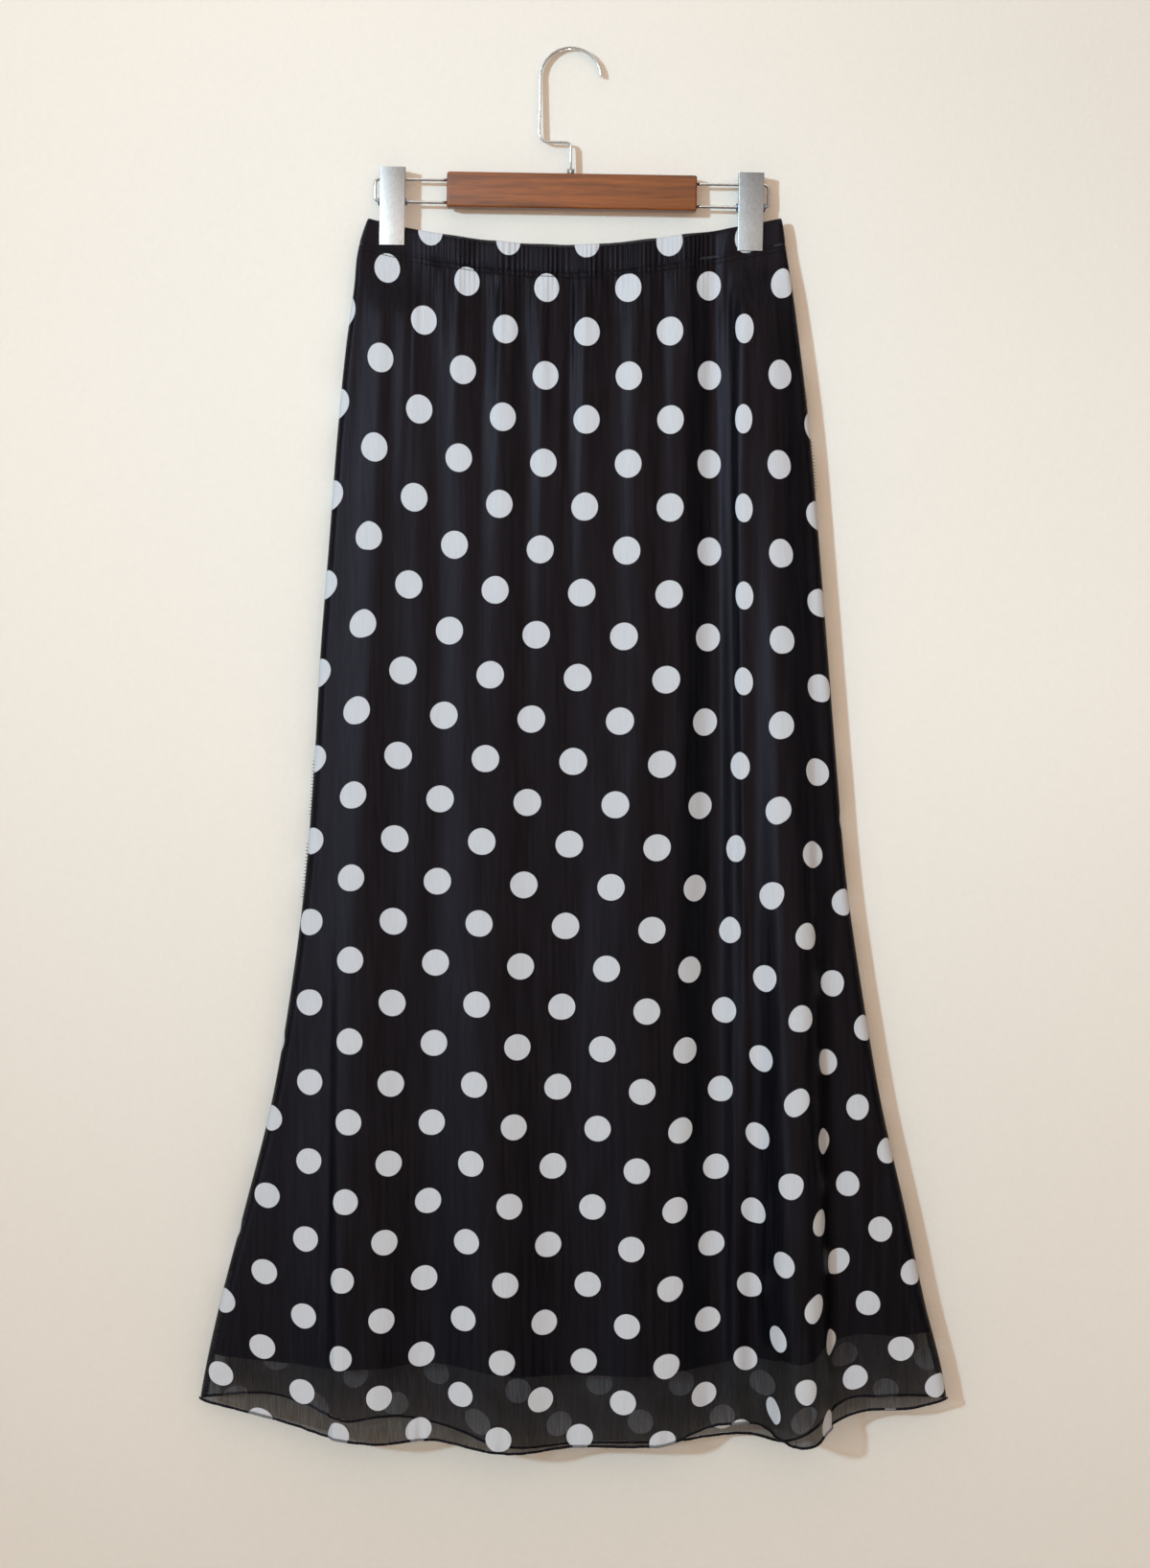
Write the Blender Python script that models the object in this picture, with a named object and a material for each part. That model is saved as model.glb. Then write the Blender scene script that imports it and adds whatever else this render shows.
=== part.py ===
"""A fishtail skirt of dotted see-through mesh over a plain lining, clipped by its waist to a wooden hanger.

The hanger's hook hangs on a rail that bears under its crown, and that point is the origin. +Z is up and
the skirt's front faces -Y. Sizes are in millimetres until an object is made, and metres in the scene.
"""

import math
from collections import namedtuple

import bmesh
import bpy
import numpy as np
from mathutils import Matrix

MM = 0.001

# The skirt: where its waist hangs below the crown, and its main lengths
SKIRT_CENTRE_X = 2.9
WAIST_CORNER_Z = -132.9
CASING_HEIGHT = 21.0
WAIST_SAG = 21.5
SAG_POWER_LEFT = 2.0
SAG_POWER_RIGHT = 1.5
KNEE_DROP = 520.0
HEM_DROP = 940.0

# The cloth: walls, the layers' distances in from the outer face, and the gap left at every seam
CLOTH_WALL = 1.2
CASING_WALL = 2.9
LINING_INSETS = (1.65, 3.0)
LINING_INSET_DROPS = (75.0, 260.0)
LINING_HEM_DROP = 885.0
SEAM_GAP = 0.3

# How late the hem's waves set in down the skirt, the flare across it, and the folds' end at its sides
HEM_REACH_POWER = 3
FLARE_POWER = 3
SIDE_FADE_POWER = 10

# The gathers of the elastic casing, front and back together
GATHERS = 120
GATHER_RISE = 0.75
STITCH_DEPTH = 0.7

# Where the clips squeeze the waist flat
CLIP_X_LEFT = -140.0
CLIP_X_RIGHT = 140.2
PINCH_HALF_DEPTH = 3.3
PINCH_FLAT = 13.0
PINCH_REACH = 42.0
PINCH_DROP = 75.0

# The hanger, in its own upright frame, and how far it leans
HANGER_LEAN = math.radians(0.94)
HANGER_CENTRE_X = 2.3
BAR_LENGTH = 195.4
BAR_HEIGHT = 27.6
BAR_DEPTH = 12.0
BAR_TOP_Z = -98.4
BAR_EDGE = 1.6
RAIL_UPPER_Z = -104.4
RAIL_LOWER_Z = -122.1
RAIL_RADIUS = 1.2
RAIL_END_X = 155.1
RAIL_BEND = 3.6
RAIL_IN_BAR = 9.0
RAIL_STRAIGHT = 2.0
RAIL_BEND_STEPS = 5
HOLE_RADIUS = 1.55
HOLE_SIDES = 10
CLIP_CENTRE_X = 140.0
CLIP_WIDTH = 19.8
CLIP_TOP_Z = -96.0
CLIP_SHEET = 0.8
JAW_CLEARANCE = 0.4
SPRING_RADIUS = 3.0
SPRING_LENGTH = 14.0
WASHER_RADIUS = 3.1
WASHER_THICKNESS = 1.2
HOOK_RADIUS = 23.7
HOOK_SHEET = 1.5
HOOK_WIDTH = 6.0
HOOK_OFFSET_Z = -73.5
HOOK_STEM_X = 1.2
HOOK_CORNER_OUTER = 6.8
HOOK_CORNER_INNER = 4.4
HOOK_TIP_ANGLE = 4.0
HOOK_CROWN_STEPS = 18
HOOK_CORNER_STEPS = 5
NUT_RADIUS = 3.2
NUT_HEIGHT = 3.8

# How finely the walls are drawn: columns across a panel and rows down it
FRONT_COLUMNS = 52
BACK_COLUMNS = 34
LINING_ROWS = 16
SIDE_COLUMNS = 3
TOP_ROW_DROPS = (21.0, 36.0, 52.0, 70.0, 95.0)

# Shares of a panel's other columns spent by these shares of the way across: more where it folds most
FRONT_COLUMN_SHARES = ((0.0, 0.0), (0.6, 0.43), (0.9, 0.93), (1.0, 1.0))
BACK_COLUMN_SHARES = ((0.0, 0.0), (1.0, 1.0))

# Half widths of the skirt laid against the wall, at drops below the waist's corners
Width = namedtuple("Width", "drop left right")
WIDTHS = (
    Width(0, 162.4, 162.0),
    Width(24, 170.0, 165.5),
    Width(54, 173.3, 170.3),
    Width(100, 179.5, 176.3),
    Width(166, 186.0, 184.0),
    Width(250, 192.5, 191.0),
    Width(340, 199.5, 198.0),
    Width(430, 204.5, 205.0),
    Width(520, 211.5, 212.6),
    Width(610, 222.8, 225.0),
    Width(700, 238.0, 240.0),
    Width(790, 260.0, 259.5),
    Width(860, 277.5, 273.5),
    Width(922, 290.3, 288.0),
    Width(965, 297.0, 294.0),
)

# Depth of the flattened tube: the side seams' plane, the round of its sides, and the bulge of each panel
Depth = namedtuple("Depth", "drop seam_y side_round front_bulge back_bulge")
DEPTHS = (
    Depth(0, 0.0, 4.8, 1.4, 1.4),
    Depth(21, 0.0, 5.0, 2.8, 2.2),
    Depth(90, -0.5, 6.2, 7.4, 3.0),
    Depth(260, -1.0, 7.2, 10.5, 3.0),
    Depth(520, -1.5, 8.0, 12.0, 2.8),
    Depth(760, -2.5, 8.6, 12.6, 2.8),
    Depth(965, -3.5, 9.0, 12.6, 2.8),
)

# Folds: the crest's place across, how far it stands out and its reach to either side, each at the
# waist, at the knee and at the hem. A trough stands out by less than nothing.
Fold = namedtuple("Fold", "name x rise left right")
FRONT_FOLDS = (
    Fold("left_ripple", (-150, -168, -170), (1.6, 0.6, 0), (17, 24, 30), (17, 24, 30)),
    Fold("second_ripple", (-127, -122, -120), (2.2, 0.6, 0), (16, 24, 30), (17, 24, 30)),
    Fold("third_ripple", (-91, -88, -86), (2.4, 0.2, 0), (17, 22, 30), (17, 22, 30)),
    Fold("fourth_ripple", (-57, -54, -52), (2.6, 0.2, 0), (16, 22, 30), (17, 22, 30)),
    Fold("fifth_ripple", (-22, -20, -20), (2.4, 0.2, 0), (16, 24, 30), (16, 24, 30)),
    Fold("centre_ripple", (10, 14, 14), (2.8, 0.4, 0), (17, 24, 30), (18, 24, 30)),
    Fold("right_ripple", (53, 56, 56), (2.8, 0.8, 0), (19, 24, 30), (17, 24, 30)),
    Fold("left_swell", (-150, -171, -161), (0, 3.0, 12), (30, 45, 70), (30, 38, 48)),
    Fold("middle_swell", (-60, -72, -58), (0, 3.5, 14), (30, 45, 58), (30, 42, 56)),
    Fold("right_swell", (50, 46, 58), (0, 5.0, 10), (30, 55, 66), (30, 45, 52)),
    Fold("crest_before_valley", (84, 84, 82), (3.0, 4.0, 1), (20, 26, 26), (22, 24, 24)),
    Fold("valley", (110, 107, 111), (-5.0, -8.0, -5), (26, 30, 30), (26, 26, 22)),
    Fold("fine_ridge", (118, 123, 124), (1.2, 1.6, 1.6), (9, 9, 9), (10, 9, 9)),
    Fold("second_valley", (140, 141, 143), (0, -3.5, -8), (16, 18, 20), (16, 18, 18)),
    Fold("flute", (148, 165, 175.5), (5.0, 15.0, 29), (28, 40, 42), (30, 40, 25)),
    Fold("side_dip", (172, 192, 214), (-0.5, -1.5, -3), (14, 20, 30), (14, 20, 34)),
)
BACK_FOLDS = (
    Fold("ripple_a", (-128, -132, -130), (-1.4, -0.4, 0), (18, 26, 30), (18, 26, 30)),
    Fold("ripple_b", (-84, -84, -84), (-1.4, -0.4, 0), (20, 26, 30), (20, 26, 30)),
    Fold("ripple_c", (-38, -36, -36), (-1.4, -0.4, 0), (20, 26, 30), (20, 26, 30)),
    Fold("ripple_d", (8, 8, 8), (-1.4, -0.4, 0), (20, 26, 30), (20, 26, 30)),
    Fold("ripple_e", (52, 54, 54), (-1.4, -0.4, 0), (20, 26, 30), (20, 26, 30)),
    Fold("ripple_f", (98, 100, 100), (-1.4, -0.4, 0), (20, 26, 30), (20, 26, 30)),
    Fold("outer_flute", (-150, -172, -178), (0, -2.0, -9), (24, 30, 34), (24, 30, 30)),
    Fold("left_flute", (-90, -98, -104), (0, -2.0, -4), (30, 34, 40), (30, 34, 40)),
    Fold("middle_flute", (-20, -22, -30), (-0.5, -3.0, -7), (30, 40, 50), (30, 40, 50)),
    Fold("right_flute", (74, 82, 92), (-0.5, -3.0, -6), (30, 36, 46), (30, 36, 46)),
    Fold("far_flute", (150, 172, 200), (0, -1.5, -4), (24, 30, 44), (24, 30, 44)),
)

# The hems: how far below the waist's corners each lies, across the skirt
Hem = namedtuple("Hem", "x drop")
FRONT_HEM = (
    Hem(-292, 922.0),
    Hem(-225, 938.4),
    Hem(-187, 948.9),
    Hem(-155, 953.0),
    Hem(-109, 951.2),
    Hem(-66, 957.9),
    Hem(-48, 959.3),
    Hem(3, 955.7),
    Hem(49, 954.5),
    Hem(70, 953.4),
    Hem(95, 944.5),
    Hem(114, 940.0),
    Hem(131, 938.9),
    Hem(146, 941.1),
    Hem(157, 947.6),
    Hem(175, 952.7),
    Hem(188, 950.2),
    Hem(201, 939.4),
    Hem(219, 931.5),
    Hem(263, 928.0),
    Hem(289, 922.0),
)
BACK_HEM = (
    Hem(-292, 922.0),
    Hem(-228, 922.5),
    Hem(-211, 928.7),
    Hem(-178, 941.0),
    Hem(-161, 939.5),
    Hem(-123, 939.5),
    Hem(-89, 949.7),
    Hem(-73, 957.5),
    Hem(0, 959.0),
    Hem(80, 957.0),
    Hem(104, 953.0),
    Hem(142, 952.8),
    Hem(163, 958.0),
    Hem(190, 946.0),
    Hem(205, 929.0),
    Hem(243, 922.5),
    Hem(289, 922.0),
)

# The linings' hems: how much lower each hangs than an even distance above the panels' hems
Lower = namedtuple("Lower", "x lower")
LINING_LOWER = (
    Lower(-277, 20.0),
    Lower(-225, 12.0),
    Lower(-160, 0.0),
    Lower(110, 0.0),
    Lower(150, -6.0),
    Lower(200, -8.0),
    Lower(274, -2.0),
)

# A panel: which folds, bulge, hem and column shares it has, and which way it faces
Panel = namedtuple("Panel", "folds bulge facing hem columns shares")
FRONT = Panel(FRONT_FOLDS, "front_bulge", -1, FRONT_HEM, FRONT_COLUMNS, FRONT_COLUMN_SHARES)
BACK = Panel(BACK_FOLDS, "back_bulge", 1, BACK_HEM, BACK_COLUMNS, BACK_COLUMN_SHARES)

# Side of a jaw, down from its top: its outer face's depth, and how far its side flanges reach back
Jaw = namedtuple("Jaw", "down face_y flange")
JAW_SECTIONS = (
    Jaw(0.0, 8.6, 9.6),
    Jaw(14.0, 8.0, 10.4),
    Jaw(29.0, 7.1, 9.5),
    Jaw(35.5, 6.6, 1.9),
    Jaw(60.5, 4.75, 0.9),
)


def clear_scene():
    for item in list(bpy.data.objects):
        bpy.data.objects.remove(item, do_unlink=True)


def material(name, colour, roughness, metallic=0.0):
    made = bpy.data.materials.new(name)
    made.use_nodes = True
    shader = made.node_tree.nodes["Principled BSDF"]
    shader.inputs["Base Color"].default_value = (*colour, 1.0)
    shader.inputs["Roughness"].default_value = roughness
    shader.inputs["Metallic"].default_value = metallic
    return made


def add_object(name, mesh, finish, parent=None):
    item = bpy.data.objects.new(name, mesh)
    item.data.materials.append(finish)
    bpy.context.scene.collection.objects.link(item)
    item.parent = parent
    return item


def mesh_from(bm, name, smooth_angle=40.0):
    """Closes the bmesh off as a mesh with outward faces, its rounds smooth and its corners sharp."""
    bmesh.ops.recalc_face_normals(bm, faces=bm.faces)
    mesh = bpy.data.meshes.new(name)
    bm.to_mesh(mesh)
    bm.free()
    mesh.shade_smooth()
    mesh.set_sharp_from_angle(angle=math.radians(smooth_angle))
    return mesh


# Curves through the tables


def through(stations, values, at):
    """A smooth curve through a table's points, read at any place: cubic stretches with even slopes."""
    stations = np.asarray(stations, float)
    values = np.asarray(values, float)
    slopes = np.gradient(values, stations)
    at = np.clip(at, stations[0], stations[-1])
    i = np.clip(np.searchsorted(stations, at, side="right") - 1, 0, len(stations) - 2)
    span = stations[i + 1] - stations[i]
    t = (at - stations[i]) / span
    rise = values[i + 1] - values[i]
    bend_in = slopes[i] * span - rise
    bend_out = rise - slopes[i + 1] * span
    return values[i] + t * rise + t * (1 - t) * ((1 - t) * bend_in + t * bend_out)


def column(table, name):
    return [getattr(row, name) for row in table]


def read(table, name, drop):
    return float(through(column(table, "drop"), column(table, name), drop))


def at_height(three, drop):
    """A fold's value at this drop, from its values at the waist, the knee and the hem."""
    return float(np.interp(drop, (CASING_HEIGHT, KNEE_DROP, HEM_DROP), three))


def bump(offset, left, right):
    """One round crest: 1 at its top and 0 where its reach to either side ends."""
    share = np.abs(offset) / np.where(offset < 0, left, right)
    return np.where(share < 1, np.cos(np.pi / 2 * np.minimum(share, 1)) ** 2, 0.0)


def ease(share):
    share = np.clip(share, 0.0, 1.0)
    return share * share * (3 - 2 * share)


# The skirt's form


def pinch(x, drop):
    """How firmly the clips squeeze the cloth here, from 0 to 1."""
    near = np.minimum(np.abs(x - CLIP_X_LEFT), np.abs(x - CLIP_X_RIGHT))
    across = 1 - ease((near - PINCH_FLAT) / (PINCH_REACH - PINCH_FLAT))
    down = 1 - ease((drop - CASING_HEIGHT) / (PINCH_DROP - CASING_HEIGHT))
    return across * down


def waist_sag(x):
    """How far the waist's fold hangs below its corners, from the share of the way out to them."""
    half = read(WIDTHS, "left", 0.0)
    out = np.clip(np.abs(x - SKIRT_CENTRE_X) / half, 0, 1)
    power = np.where(x < SKIRT_CENTRE_X, SAG_POWER_LEFT, SAG_POWER_RIGHT)
    return WAIST_SAG * (1 - out**power)


def section(drop, folds, bulge, facing, samples=700):
    """Points (x, y) across one panel's outer face at this drop, from the left seam to the right.

    facing is -1 for the front and +1 for the back. The sides turn round on a quarter circle, so
    the two panels meet edge to edge in the seams' plane, and the folds lie on the stretch between.
    """
    left = read(WIDTHS, "left", drop)
    right = read(WIDTHS, "right", drop)
    seam_y = read(DEPTHS, "seam_y", drop)
    side = read(DEPTHS, "side_round", drop)
    swing = (1 - np.cos(np.linspace(0, np.pi, samples))) / 2
    x = -left + (left + right) * swing
    inward = np.minimum(x + left, right - x)
    ends = np.sqrt(np.maximum(side**2 - np.maximum(side - inward, 0) ** 2, 0))
    out = np.where(x < 0, -x / left, x / right)
    depth = ends + read(DEPTHS, bulge, drop) * (1 - out**2)
    fade = 1 - out**SIDE_FADE_POWER
    for fold in folds:
        offset = x - at_height(fold.x, drop)
        reach = at_height(fold.left, drop), at_height(fold.right, drop)
        depth = depth + at_height(fold.rise, drop) * bump(offset, *reach) * fade
    x = x + SKIRT_CENTRE_X
    flat = np.minimum(depth, PINCH_HALF_DEPTH)
    depth = depth + (flat - depth) * pinch(x, drop)
    return np.column_stack([x, seam_y + facing * (depth + SEAM_GAP / 2)])


def outward(points, facing):
    """Unit normals of a section, facing out of the skirt. At either end they point straight sideways."""
    along = np.gradient(points, axis=0)
    normal = np.column_stack([along[:, 1], -along[:, 0]]) * -facing
    normal /= np.linalg.norm(normal, axis=1)[:, None]
    normal[0] = (-1, 0)
    normal[-1] = (1, 0)
    return normal


def spread(points, facing, side, count, shares):
    """The section read along the cloth at its columns: places, and the outward normals there.

    The side's quarter circle takes SIDE_COLUMNS steps at either end, and the shares set out the rest.
    """
    steps = np.linalg.norm(np.diff(points, axis=0), axis=1)
    length = np.concatenate([[0], np.cumsum(steps)])
    turn = side * math.pi / 2
    corner = turn * np.arange(SIDE_COLUMNS) / SIDE_COLUMNS
    even = np.linspace(0, 1, count - 2 * SIDE_COLUMNS)
    across = np.interp(even, [row[1] for row in shares], [row[0] for row in shares])
    middle = turn + (length[-1] - 2 * turn) * across
    at = np.concatenate([corner, middle, length[-1] - corner[::-1]])
    normals = outward(points, facing)
    places = np.column_stack([np.interp(at, length, points[:, i]) for i in (0, 1)])
    out = np.column_stack([np.interp(at, length, normals[:, i]) for i in (0, 1)])
    return places, out / np.linalg.norm(out, axis=1)[:, None]


def row_drops():
    """The drops of every panel's rows: close ones under the casing, even ones down to the hems."""
    even = np.linspace(TOP_ROW_DROPS[-1], LINING_HEM_DROP, LINING_ROWS - len(TOP_ROW_DROPS) + 1)
    return np.concatenate([TOP_ROW_DROPS[:-1], even, [HEM_DROP]])


def panel_walls(panel, lined):
    """Two grids of points down one panel, its outer and its inner face, each row from seam to seam.

    A lining is the panel's own points, moved in, and it ends above the panel's hem.
    """
    hem_half = read(WIDTHS, "left", HEM_DROP)
    outer_rows = []
    inner_rows = []
    for drop in row_drops()[: LINING_ROWS if lined else None]:
        share = (drop - CASING_HEIGHT) / (HEM_DROP - CASING_HEIGHT)
        outline = section(drop, panel.folds, panel.bulge, panel.facing)
        side = read(DEPTHS, "side_round", drop)
        flat, normals = spread(outline, panel.facing, side, panel.columns, panel.shares)
        x = flat[:, 0] - SKIRT_CENTRE_X
        half = read(WIDTHS, "left", drop)
        at_hem = x + np.sign(x) * (hem_half - half) * np.abs(x / half) ** FLARE_POWER
        hem = through(column(panel.hem, "x"), column(panel.hem, "drop"), at_hem)
        top = waist_sag(flat[:, 0]) + CASING_HEIGHT + SEAM_GAP
        down = top + (HEM_DROP - top) * share + (hem - HEM_DROP) * share**HEM_REACH_POWER
        inset = 0.0
        if lined:
            inset = np.interp(drop, LINING_INSET_DROPS, LINING_INSETS)
            lower = through(column(LINING_LOWER, "x"), column(LINING_LOWER, "lower"), x)
            down += lower * share**HEM_REACH_POWER
        for rows, depth in ((outer_rows, inset), (inner_rows, inset + CLOTH_WALL)):
            moved = flat - normals * depth
            rows.append(np.column_stack([moved, WAIST_CORNER_Z - down]))
    return np.array(outer_rows), np.array(inner_rows)


def cloth_sheet(name, walls, finish):
    """A cloth panel: a grid laid through each wall's points, and a rim round their open edges."""
    bm = bmesh.new()
    rims = []
    for points in walls:
        rows, columns, _ = points.shape
        size = (columns - 1, rows - 1)
        made = bmesh.ops.create_grid(bm, x_segments=size[0], y_segments=size[1], size=1.0)
        for vertex, place in zip(made["verts"], points.reshape(-1, 3)):
            vertex.co = place * MM
        edges = {edge for vertex in made["verts"] for edge in vertex.link_edges}
        rims += [edge for edge in edges if edge.is_boundary]
    bmesh.ops.bridge_loops(bm, edges=rims)
    return add_object(name, mesh_from(bm, name), finish)


# The casing at the waist

# Round the casing's wall: how far in from the outer face, how far down, and the share of the
# gathers' rise that shows there
Wall = namedtuple("Wall", "inward down gather")
CASING_SECTION = (
    Wall(CASING_WALL, CASING_HEIGHT, 0.0),
    Wall(CASING_WALL, 1.0, 0.0),
    Wall(CASING_WALL / 2, 0.0, 0.3),
    Wall(0.1, 1.6, 0.9),
    Wall(STITCH_DEPTH, 18.6, 0.2),
    Wall(0.1, CASING_HEIGHT, 0.6),
)


def casing_loop(drop, count):
    """The whole way round the skirt at this drop, at even lengths: across the front, then the back."""
    front = section(drop, FRONT_FOLDS, "front_bulge", -1)
    back = section(drop, BACK_FOLDS, "back_bulge", 1)[::-1]
    loop = np.concatenate([front, back, front[:1]])
    length = np.concatenate([[0], np.cumsum(np.linalg.norm(np.diff(loop, axis=0), axis=1))])
    at = np.linspace(0, length[-1], count + 1)[:-1]
    return np.column_stack([np.interp(at, length, loop[:, i]) for i in (0, 1)])


def loop_outward(loop):
    along = np.roll(loop, -1, axis=0) - np.roll(loop, 1, axis=0)
    normal = np.column_stack([along[:, 1], -along[:, 0]])
    return normal / np.linalg.norm(normal, axis=1)[:, None]


def make_casing(finish):
    """The elastic casing: a closed band of cloth round the waist, drawn up into gathers."""
    count = GATHERS * 2
    wave = np.where(np.arange(count) % 2 == 0, 1.0, -1.0)
    bm = bmesh.new()
    rings = []
    for wall in CASING_SECTION:
        loop = casing_loop(wall.down, count)
        held = pinch(loop[:, 0], wall.down)
        rise = GATHER_RISE * wall.gather * (wave - 1) / 2 * (1 - held)
        flat = loop + loop_outward(loop) * (rise - wall.inward)[:, None]
        z = WAIST_CORNER_Z - waist_sag(loop[:, 0]) - wall.down
        rings.append([bm.verts.new((x * MM, y * MM, h * MM)) for (x, y), h in zip(flat, z)])
    for ring, following in zip(rings, rings[1:] + rings[:1]):
        for i in range(count):
            j = (i + 1) % count
            bm.faces.new((ring[i], ring[j], following[j], following[i]))
    return add_object("waist_casing", mesh_from(bm, "waist_casing", 70.0), finish)


# The hanger


def cylinder(name, radius, length, sides, finish, parent, bore=0.0):
    """A cylinder along X at its parent's origin, with a bore through it where one is given."""
    bm = bmesh.new()
    if bore:
        outer = bmesh.ops.create_circle(bm, cap_ends=False, segments=sides, radius=radius * MM)
        inner = bmesh.ops.create_circle(bm, cap_ends=False, segments=sides, radius=bore * MM)
        rims = [v.link_edges for v in outer["verts"] + inner["verts"]]
        edges = list({edge for pair in rims for edge in pair})
        face = bmesh.ops.bridge_loops(bm, edges=edges)["faces"]
        grown = bmesh.ops.extrude_face_region(bm, geom=face)["geom"]
        top = [v for v in grown if isinstance(v, bmesh.types.BMVert)]
        bmesh.ops.translate(bm, verts=top, vec=(0, 0, length * MM))
        bmesh.ops.translate(bm, verts=bm.verts, vec=(0, 0, -length / 2 * MM))
    else:
        size = {"radius1": radius * MM, "radius2": radius * MM, "depth": length * MM}
        bmesh.ops.create_cone(bm, cap_ends=True, segments=sides, **size)
    bmesh.ops.rotate(bm, verts=bm.verts, matrix=Matrix.Rotation(math.pi / 2, 3, "Y"))
    return add_object(name, mesh_from(bm, name), finish, parent)


def cut(item, cutter):
    cutter.hide_render = True
    cutter.display_type = "WIRE"
    hole = item.modifiers.new(cutter.name, "BOOLEAN")
    hole.operation = "DIFFERENCE"
    hole.object = cutter


def arc(centre, radius, start, end, steps):
    """Points on an arc in the XZ plane, its angles in degrees from +X towards +Z."""
    angles = np.radians(np.linspace(start, end, steps + 1))
    return [(centre[0] + radius * math.cos(a), centre[1] + radius * math.sin(a)) for a in angles]


def make_hanger():
    """An empty at the crown's underside, turned by the hanger's lean, that carries the hanger's pieces."""
    carrier = bpy.data.objects.new("hanger", None)
    bpy.context.scene.collection.objects.link(carrier)
    carrier.rotation_euler = (0, HANGER_LEAN, 0)
    wood = material("oiled_wood", (0.27, 0.12, 0.05), 0.45)
    chrome = material("bright_wire", (0.72, 0.72, 0.73), 0.15, 1.0)
    steel = material("clip_steel", (0.55, 0.56, 0.58), 0.4, 1.0)
    zinc = material("blue_zinc", (0.30, 0.38, 0.50), 0.35, 1.0)
    make_bar(wood, carrier)
    make_hook(chrome, carrier)
    for side, sign in (("left", -1), ("right", 1)):
        make_rails(side, sign, chrome, carrier)
        make_clip(side, sign, steel, zinc, carrier)


def make_bar(finish, carrier):
    """The wooden bar, its edges eased, with a blind hole at each end for each rail."""
    bm = bmesh.new()
    bmesh.ops.create_cube(bm, size=1.0)
    size = (BAR_LENGTH * MM, BAR_DEPTH * MM, BAR_HEIGHT * MM)
    bmesh.ops.scale(bm, verts=bm.verts, vec=size)
    bar = add_object("wood_bar", mesh_from(bm, "wood_bar"), finish, carrier)
    bar.location = (HANGER_CENTRE_X * MM, 0, (BAR_TOP_Z - BAR_HEIGHT / 2) * MM)
    eased = bar.modifiers.new("eased", "BEVEL")
    eased.width = BAR_EDGE * MM
    eased.segments = 3
    for sign in (-1, 1):
        for level, z in (("upper", RAIL_UPPER_Z), ("lower", RAIL_LOWER_Z)):
            name = f"bar_hole_{level}_{'left' if sign < 0 else 'right'}"
            hole = cylinder(name, HOLE_RADIUS, 2 * (RAIL_IN_BAR + 1), HOLE_SIDES, finish, carrier)
            end_x = HANGER_CENTRE_X + sign * BAR_LENGTH / 2
            hole.location = (end_x * MM, 0, z * MM)
            cut(bar, hole)


def make_hook(finish, carrier):
    """The flat strip of the hook: round its crown, down, across to the middle and down to the nut."""
    crown_z = HOOK_SHEET / 2 - HOOK_RADIUS
    left = -HOOK_RADIUS
    nut_top = BAR_TOP_Z + SEAM_GAP + NUT_HEIGHT
    low_turn = (left + HOOK_CORNER_OUTER, HOOK_OFFSET_Z + HOOK_CORNER_OUTER)
    down_turn = (HOOK_STEM_X - HOOK_CORNER_INNER, HOOK_OFFSET_Z - HOOK_CORNER_INNER)
    path = arc((0, crown_z), HOOK_RADIUS, HOOK_TIP_ANGLE, 180, HOOK_CROWN_STEPS)
    path += arc(low_turn, HOOK_CORNER_OUTER, 180, 270, HOOK_CORNER_STEPS)
    path += arc(down_turn, HOOK_CORNER_INNER, 90, 0, HOOK_CORNER_STEPS)
    path.append((HOOK_STEM_X, nut_top + SEAM_GAP))
    bm = bmesh.new()
    bmesh.ops.create_grid(bm, x_segments=1, y_segments=len(path) - 1, size=1.0)
    bm.verts.ensure_lookup_table()
    for i, (x, z) in enumerate(path):
        for j, y in enumerate((-HOOK_WIDTH / 2, HOOK_WIDTH / 2)):
            bm.verts[2 * i + j].co = (x * MM, y * MM, z * MM)
    hook = add_object("hook_strip", mesh_from(bm, "hook_strip"), finish, carrier)
    wall = hook.modifiers.new("sheet", "SOLIDIFY")
    wall.thickness = HOOK_SHEET * MM
    wall.offset = 0.0
    nut = cylinder("hook_nut", NUT_RADIUS, NUT_HEIGHT, 6, finish, carrier)
    nut.rotation_euler = (0, math.pi / 2, 0)
    nut.location = (HOOK_STEM_X * MM, 0, (BAR_TOP_Z + SEAM_GAP + NUT_HEIGHT / 2) * MM)


def make_rails(side, sign, finish, carrier):
    """Two rails in one bent wire: out of the bar, through the clip, round a D and back."""
    start = BAR_LENGTH / 2 - RAIL_IN_BAR
    end = RAIL_END_X - RAIL_RADIUS
    turn_x = end - RAIL_BEND
    clear_x = BAR_LENGTH / 2 + RAIL_STRAIGHT
    path = [(start, RAIL_UPPER_Z), (clear_x, RAIL_UPPER_Z)]
    path += arc((turn_x, RAIL_UPPER_Z - RAIL_BEND), RAIL_BEND, 90, 0, RAIL_BEND_STEPS)
    path += arc((turn_x, RAIL_LOWER_Z + RAIL_BEND), RAIL_BEND, 0, -90, RAIL_BEND_STEPS)
    path += [(clear_x, RAIL_LOWER_Z), (start, RAIL_LOWER_Z)]
    name = f"rails_{side}"
    curve = bpy.data.curves.new(name, "CURVE")
    curve.dimensions = "3D"
    line = curve.splines.new("POLY")
    line.points.add(len(path) - 1)
    for point, (x, z) in zip(line.points, path):
        point.co = ((HANGER_CENTRE_X + sign * x) * MM, 0, z * MM, 1)
    line.use_smooth = True
    curve.bevel_depth = RAIL_RADIUS * MM
    curve.bevel_resolution = 2
    curve.use_fill_caps = True
    return add_object(name, curve, finish, carrier)


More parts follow.
